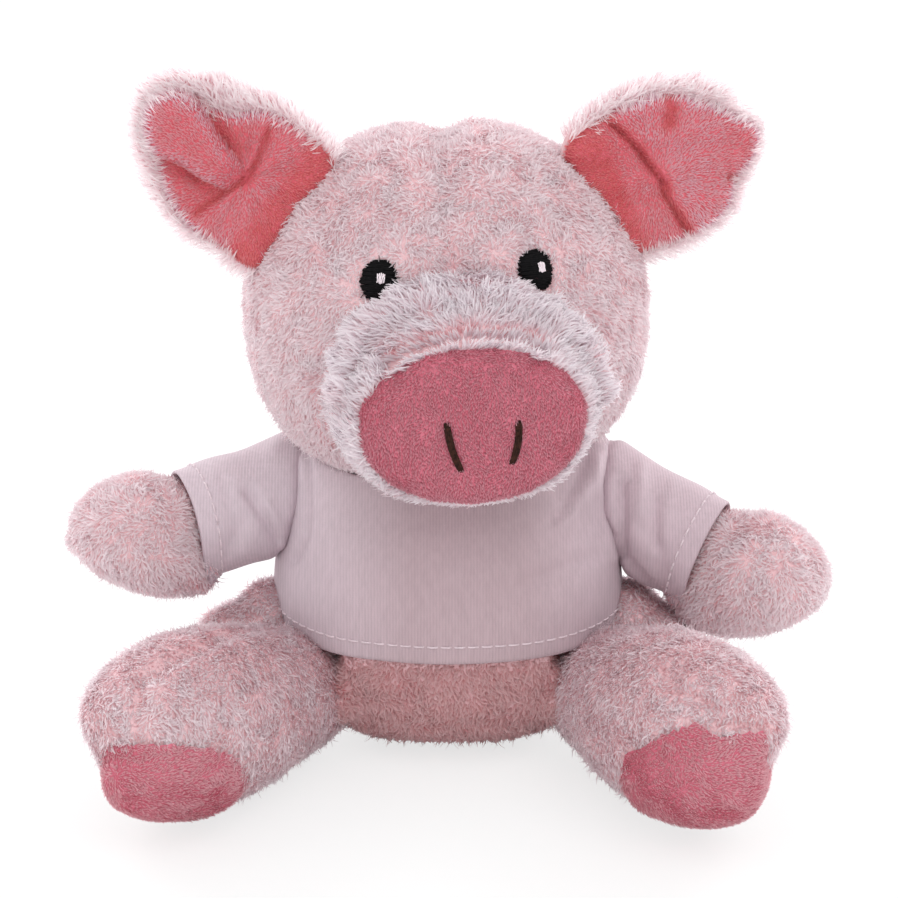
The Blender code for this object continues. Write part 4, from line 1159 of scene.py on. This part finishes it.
SLEEVE_ENDS, SLEEVE_RADII, ARM_TREES = {}, {}, {}
for side in SIDES:
    along, radial, _ = about_the_arm(arrays(NODES["sleeve_" + side].data)[0], side)
    SLEEVE_ENDS[side] = along.max()
    SLEEVE_RADII[side] = np.sort(radial[along > along.max() - 4 * MM])[-8:].mean()


def hand_hung(form, side):
    """The arm's form with the hand's underside drawn in towards the body."""
    points, tris = form
    along, _, depth = about_the_arm(points, side)
    drawn = 0.7 * depth * eased((along - SLEEVE_ENDS[side] + 12 * MM) / (12 * MM))
    level = unit(np.array(ARM_WAYS[side]) * [1.0, 1.0, 0.0])
    return points - np.outer(drawn, level) - np.outer(drawn, [0.0, 0.0, 0.12]), tris


def foot_narrowed(form, side):
    """The leg's form with the outer side of its sole drawn in."""
    points, tris = form
    outer = points[:, 0] * SIDES[side] - FOOT_WIDTH[side]
    drawn = 4.0 * MM * eased(outer / (12 * MM)) * eased((32 * MM - points[:, 2]) / (14 * MM))
    drawn *= eased((-points[:, 1] - 40 * MM) / (15 * MM))
    return points - np.outer(drawn * SIDES[side], [1.0, 0.0, 0.0]), tris


def make_arm(side, number):
    body, end, nodes = "arm_" + side, SLEEVE_ENDS[side], ["arm_skin_" + side, "arm_filling_" + side]
    backing = stuffed("arm_plush_" + side, hand_hung(outer_form(nodes, 24), side), body, nodes)
    ARM_TREES[side] = tree_of(*backing)

    def past_the_cuff(places, normals):
        along, radial, _ = about_the_arm(places, side)
        return (along > end - 7 * MM) | ((radial > SLEEVE_RADII[side] - 0.5 * MM) & (along > 8 * MM))

    # Painted shade on the arm's pile just past the sleeve's cuff
    def cuff_shade(places, normals):
        return 0.6 * bell(np.clip(about_the_arm(places, side)[0] - end, 0.0, None), 2.2 * MM)

    furred("arm_fur_" + side, backing, body, CURLY, 10 + number, past_the_cuff, DOWN_AND_BACK, shade=cuff_shade)


def make_leg(side, number):
    body, nodes, sole = "leg_" + side, ["leg_skin_" + side, "leg_filling_" + side], SOLES[side]
    haunch = [((x * SIDES[side], y, z), radii) for (x, y, z), radii in HAUNCH]
    form = foot_narrowed(outer_form(nodes + ["sole_pad_" + side], 30, lumps=haunch), side)
    form = pressed(form, [(line, 1.6 * MM, 6.0) for line in CHANNELS[side]])
    backing = stuffed("leg_plush_" + side, form, body, nodes)
    tree = tree_of(*form)
    middle = np.array(sole["middle"]) * MM
    front, across = (unit(np.array(sole[key])) for key in ("front", "across"))
    up = np.cross(front, across)
    up = up if up[2] > 0 else -up
    seen = [place for place, _ in (photo_hit(tree, *pixel) for pixel in sole["seen"]) if place is not None]
    gaps = [np.array(place) - middle for place in seen]
    loop = np.array([(gap @ across, gap @ up) for gap in gaps] + [(x * MM, z * MM) for x, z in sole["below"]])
    base, sole_tree = dished_pad(
        "sole_velour_" + side, tree, middle, across, up, front, loop, body, SOLE_NAP, 33 + number,
        np.array([0.8, 0.0, 0.1]),
    )
    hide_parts("sole_pad_" + side)

    def off_the_sole(places, normals):
        outer = places + normals * PILE
        return np.array([sole_tree.find_nearest(Vector(p))[3] > 0.9 * MM for p in outer])

    def short_in_channels(places, normals):
        return 1.0 - 0.6 * (bell(lines_gap(places, CHANNELS[side]), 5.0) * facing(normals))

    def leg_shade(places, normals):
        near = bell(lines_gap(places, CHANNELS[side]), 6.0)
        return np.maximum(0.8 * near * facing(normals), groin_shade(places, normals))

    name = "leg_fur_" + side
    furred(name, backing, body, CURLY, 20 + number, off_the_sole, TO_THE_FOOT, FUR, short_in_channels, leg_shade)


for number, side in enumerate(SIDES):
    make_arm(side, number)
    make_leg(side, number)

# Shirt, drawn in millimetres
SHIRT_RINGS = [
    # height, half width, depth to the front, depth to the back
    (28.6, 39.9, 40.2, 36.6), (31.0, 40.3, 40.5, 36.9), (36.0, 40.3, 40.2, 36.6), (41.0, 39.8, 39.4, 35.8),
    (46.0, 39.0, 38.0, 34.6), (51.0, 38.2, 36.2, 33.0), (55.0, 37.6, 34.2, 31.2), (59.0, 37.3, 31.8, 29.2),
    (63.5, 36.9, 29.4, 27.0), (67.0, 36.0, 27.2, 25.0), (69.8, 33.6, 25.4, 23.4), (70.0, 29.6, 23.8, 21.8),
    (67.5, 25.6, 22.2, 20.8), (63.5, 23.4, 21.0, 20.3),
]
NECK_RINGS = [
    (57.0, 22.4, 20.0, 19.8), (58.6, 22.6, 20.3, 20.1), (59.6, 22.2, 19.9, 19.7), (59.4, 21.4, 19.2, 19.0),
    (57.2, 21.2, 19.0, 18.8),
]
ROWS, COLUMNS = 76, 240
SHIRT_FOLDS = [
    # line across and up, depth, width, and the shares of its length where it starts and ends
    ([(31, 68), (27.5, 63.5), (22, 57.5)], 2.4, 2.6, (-0.3, 0.8)),
    ([(33.5, 55), (24, 49), (13, 43)], 1.1, 5.0, (-0.1, 0.9)),
    ([(-38, 48), (-30, 45), (-22, 44)], 0.5, 4.0, (-0.1, 0.9)),
]
# Lines of the photograph, each with a depth and a width in pixels
SHIRT_CREASES = [
    ([(305, 452), (308, 468), (307, 516), (305, 535), (298, 554), (292, 561)], 1.5 * MM, 4.0),
    ([(595, 458), (597, 487), (603, 510), (609, 542), (613, 558)], -0.8 * MM, 5.0),
    ([(586, 468), (569, 506), (555, 520)], 1.4 * MM, 6.0),
    ([(592, 558), (560, 572), (530, 585), (500, 600)], 0.9 * MM, 11.0),
    ([(590, 545), (560, 557), (535, 566)], -0.4 * MM, 9.0),
]
SLEEVE_CREASES = {
    "right": [
        ([(250, 493), (265, 516), (279, 539)], 1.5 * MM, 7.0), ([(267, 506), (276, 525), (284, 544)], -0.8 * MM, 6.0),
        ([(273, 449), (280, 440), (290, 432)], -0.6 * MM, 9.0), ([(222, 480), (232, 510), (236, 535)], 0.4 * MM, 8.0),
    ],
    "left": [
        ([(622, 483), (622, 520), (621, 554)], 1.8 * MM, 6.0), ([(641, 468), (641, 516)], -0.9 * MM, 7.0),
        ([(655, 502), (657, 544)], 0.7 * MM, 6.0), ([(672, 486), (665, 520), (655, 556)], -0.3 * MM, 7.0),
    ],
}
STITCH_RISE = 3.9 * MM
STITCH_LIFTS = np.array([-0.12, 0.14, 0.2, 0.2, 0.14, -0.12]) * MM
HEM_THICKNESS = 0.9 * MM


def shirt_rows():
    rings = np.array(SHIRT_RINGS)
    along = distances(rings[:, :3])
    rows = np.stack([np.interp(np.linspace(0.0, along[-1], ROWS), along, column) for column in rings.T], axis=1)
    for _ in range(3):
        rows[1:-1] = (rows[:-2] + 2 * rows[1:-1] + rows[2:]) / 4
    return rows


def shirt_ring(row, turn):
    """Points of the shirt's body at a row of its rings, where turn 0 is its left and a quarter back is its front."""
    height, half, ahead, behind = row
    c, s = np.cos(turn), np.sin(turn)
    power = 2.0 / 2.35
    x = np.sign(c) * np.abs(c) ** power * half
    y = np.where(s < 0, -np.abs(s) ** power * ahead, np.abs(s) ** power * behind)
    lift = np.where(s > 0, 3.5, 0.0) * np.abs(s) ** 1.5 * max(0.0, 1 - (height - 28) / 22)
    return np.stack([x, y + 1.0, height + lift], axis=-1)


def shirt_surface():
    grid = np.array([shirt_ring(row, around(COLUMNS)) for row in shirt_rows()])
    flat = grid.reshape(-1, 3)
    out = flat - np.array([0.0, 1.0, 45.0])
    out[:, 2] *= np.clip((flat[:, 2] - 52) / 10, 0, 1)
    out = unit(out)
    for line, depth, width, span in SHIRT_FOLDS:
        drop = slit_depth(flat[:, [0, 2]], line, depth, width, span) * (flat[:, 1] < 0)
        ridge = slit_depth(flat[:, [0, 2]] + [-width * 1.3, width * 0.5], line, depth * 0.45, width * 1.1, span)
        flat = flat + out * (drop - ridge * (flat[:, 1] < 0))[:, None]
    sway = np.array([noise.noise(Vector((p[0] / 16, p[1] / 16, p[2] / 22 + 3.1))) for p in flat])
    flat = flat + out * (sway * 0.7)[:, None]
    flat = dented(flat * MM, out, SHIRT_CREASES) / MM
    for p in flat:
        if p[2] >= 60:
            chin = head_tree.ray_cast(Vector((p[0], p[1], 0)) * MM, Vector((0, 0, 1)))[0]
            if chin is not None:
                p[2] = min(p[2], chin.z / MM + 0.9)
    return flat.reshape(grid.shape) * MM


def kept_off(points, tree, clearance):
    """Points moved out where they come closer to a closed surface than a clearance."""
    points = points.copy()
    for k, p in enumerate(points):
        place, normal, _, gap = tree.find_nearest(Vector(p), 6 * MM)
        if place is not None and (Vector(p) - place).dot(normal) < clearance:
            points[k] = np.array(place + normal * clearance)
    return points


def hem_turned(rows, count):
    """Rows that roll a cloth's edge inwards and run back up inside it, given the cloth's rows from its edge."""
    inside = []
    for k in range(count, -1, -1):
        along = unit(rows[k + 1] - rows[k])
        inward = rows[k].mean(axis=0) - rows[k]
        inward = unit(inward - along * (inward * along).sum(axis=1, keepdims=True))
        inside.append(rows[k] + inward * HEM_THICKNESS)
    inside.append((rows[0] + inside[-1]) / 2 + unit(rows[0] - rows[1]) * HEM_THICKNESS * 0.45)
    return np.array(inside)


def stitched(name, cloth, out, pitch, body):
    """Short stitches around a cloth, given its rows from its edge and the way off its surface at each column."""
    columns = zip(distances(cloth).T, cloth.transpose(1, 0, 2))
    line = np.array([[np.interp(STITCH_RISE, gaps, values) for values in column.T] for gaps, column in columns])
    out = unit(line - line.mean(axis=0)) if out is None else out
    closed = np.r_[0 : len(line), 0]
    line, out = line[closed], out[closed]
    steps = distances(line)
    parts = []
    for start in np.arange(0.0, steps[-1] - pitch, pitch):
        at = start + np.linspace(0.0, pitch * 0.74, 6)
        place, away = (np.stack([np.interp(at, steps, values) for values in v.T], axis=1) for v in (line, out))
        parts.append(tube(place + unit(away) * STITCH_LIFTS[:, None], 0.21 * MM, 6))
    sewn(name, parts, HEM_THREAD, body, "white_thread")


shirt = shirt_surface()
shirt_tree = tree_of(shirt.reshape(-1, 3), grid_faces(ROWS, COLUMNS))
cloth = np.concatenate([hem_turned(shirt, 6), shirt])
for name, start, node in (("front", COLUMNS // 2, "shirt_front"), ("back", 0, "shirt_back")):
    columns = [(start + i) % COLUMNS for i in range(COLUMNS // 2 + 1)]
    part = cloth[:, columns].reshape(-1, 3)
    cut = np.zeros(len(part), bool)
    for side in SIDES:
        along, radial, _ = about_the_arm(part, side)
        cut |= (radial < SLEEVE_RADII[side] - 3.0 * MM) & (along > -16 * MM)
    faces = [face for face in grid_faces(len(cloth), len(columns), wrap=False) if not all(cut[i] for i in face)]
    made = placed(new_object("shirt_" + name + "_panel", part, faces, JERSEY), "torso")
    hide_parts(node)
band = np.array([shirt_ring(row, around(96)) * MM for row in NECK_RINGS])
made = placed(new_object("neck_rib", band.reshape(-1, 3), grid_faces(5, 96), JERSEY), "torso")
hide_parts("neckband")
stitched("hem_stitches", shirt, None, 3.0 * MM, "torso")

# Sleeves
SLEEVE_ROWS, SLEEVE_COLUMNS = 56, 144
SLEEVE_FOLDS = {
    # place along the sleeve and turn about it, from and to, then depth and width, in millimetres and degrees
    "left": [((2, -110), (11, -150), 0.8, 2.4), ((13, -70), (12, -140), 0.5, 2.6)],
    "right": [((13, -80), (16, -120), 0.5, 2.6)],
}
DEGREE_SHARE = 0.2  # how many millimetres a degree about the sleeve counts for in the folds


def sleeve_roots(shoulder, way, ring, radius, swell):
    """Where a sleeve meets the shirt, as distances along the arm at each turn about it."""
    root = np.empty(len(ring))
    for k, spoke in enumerate(ring):
        origin = shoulder + spoke * radius * swell[k] + way * 0.05
        hit = shirt_tree.ray_cast(Vector(origin), Vector(-way), 0.06)
        root[k] = 0.05 - hit[3] if hit[0] is not None else np.nan
    good = ~np.isnan(root)
    turns = around(len(ring))
    root = np.interp(turns, turns[good], root[good], period=2 * math.pi)
    for _ in range(3):
        root = (np.roll(root, 1) + 2 * root + np.roll(root, -1)) / 4
    return root - 0.9 * MM


def make_sleeve(side):
    way, shoulder = np.array(ARM_WAYS[side].normalized()), np.array(SHOULDERS[side])
    up = np.array([0.0, 0.0, 1.0])
    up = unit(up - way * (up @ way))
    across = np.cross(up, way) * SIDES[side]
    turns = around(SLEEVE_COLUMNS)
    ring = np.outer(np.cos(turns), across) + np.outer(np.sin(turns), up)
    length, radius = SLEEVE_ENDS[side], SLEEVE_RADII[side]
    swell = 1.0 + 0.2 * np.clip(np.sin(turns), -0.18, 1.0)
    root = sleeve_roots(shoulder, way, ring, radius, swell)
    bottom_up = np.degrees(np.arctan2(-(ring @ np.array([0.0, -1.0, 0.0])), ring @ np.array([0.0, 0.0, 1.0])))
    rows = []
    for share in np.linspace(0.0, 1.0, SLEEVE_ROWS):
        at = root + (length - root) * share
        past = (at - root) / MM
        size = radius * (1.0 + (swell - 1.0) * bell(past, 9.0))
        size = size - 1.3 * MM * bell(past, 1.6)
        size = size - 0.9 * MM * bell(length - at, 5 * MM) * np.clip(np.sin(turns), 0.0, 1.0)
        for start, end, depth, width in SLEEVE_FOLDS[side]:
            line = np.array([start, end]) * [1.0, DEGREE_SHARE]
            gap, along = line_gap(np.stack([past, bottom_up * DEGREE_SHARE], axis=1), line)
            fade = eased((along + 0.25) / 0.4) * eased((1.15 - along) / 0.3)
            size = size - depth * MM * bell(gap, width) * fade
            gap, _ = line_gap(np.stack([past + width * 1.4, bottom_up * DEGREE_SHARE], axis=1), line)
            size = size + depth * 0.4 * MM * bell(gap, width) * fade
        rows.append(shoulder + way * at[:, None] + ring * size[:, None])
    rows = np.array(rows)
    sway = np.array([noise.noise(Vector(p) / (9 * MM)) for p in rows.reshape(-1, 3)]).reshape(rows.shape[:2])
    rows = rows + ring[None] * (sway * 0.5 * MM)[..., None]
    rows = dented(rows.reshape(-1, 3), np.broadcast_to(ring, rows.shape).reshape(-1, 3), SLEEVE_CREASES[side])
    rows = kept_off(rows, ARM_TREES[side], 0.7 * MM).reshape(SLEEVE_ROWS, SLEEVE_COLUMNS, 3)
    cloth = np.concatenate([rows, hem_turned(rows[::-1], 8)[::-1]])
    faces = grid_faces(len(cloth), SLEEVE_COLUMNS)
    if side == "right":
        faces = [face[::-1] for face in faces]
    made = new_object("sleeve_cloth_" + side, cloth.reshape(-1, 3), faces, JERSEY)
    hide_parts("sleeve_" + side)
    start, end = (shoulder + way * (root.mean() + past * MM) for past in (1, 9))
    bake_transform(made)
    stitched("cuff_stitches_" + side, rows[::-1], ring, 2.9 * MM, "arm_" + side)


for side in SIDES:
    make_sleeve(side)
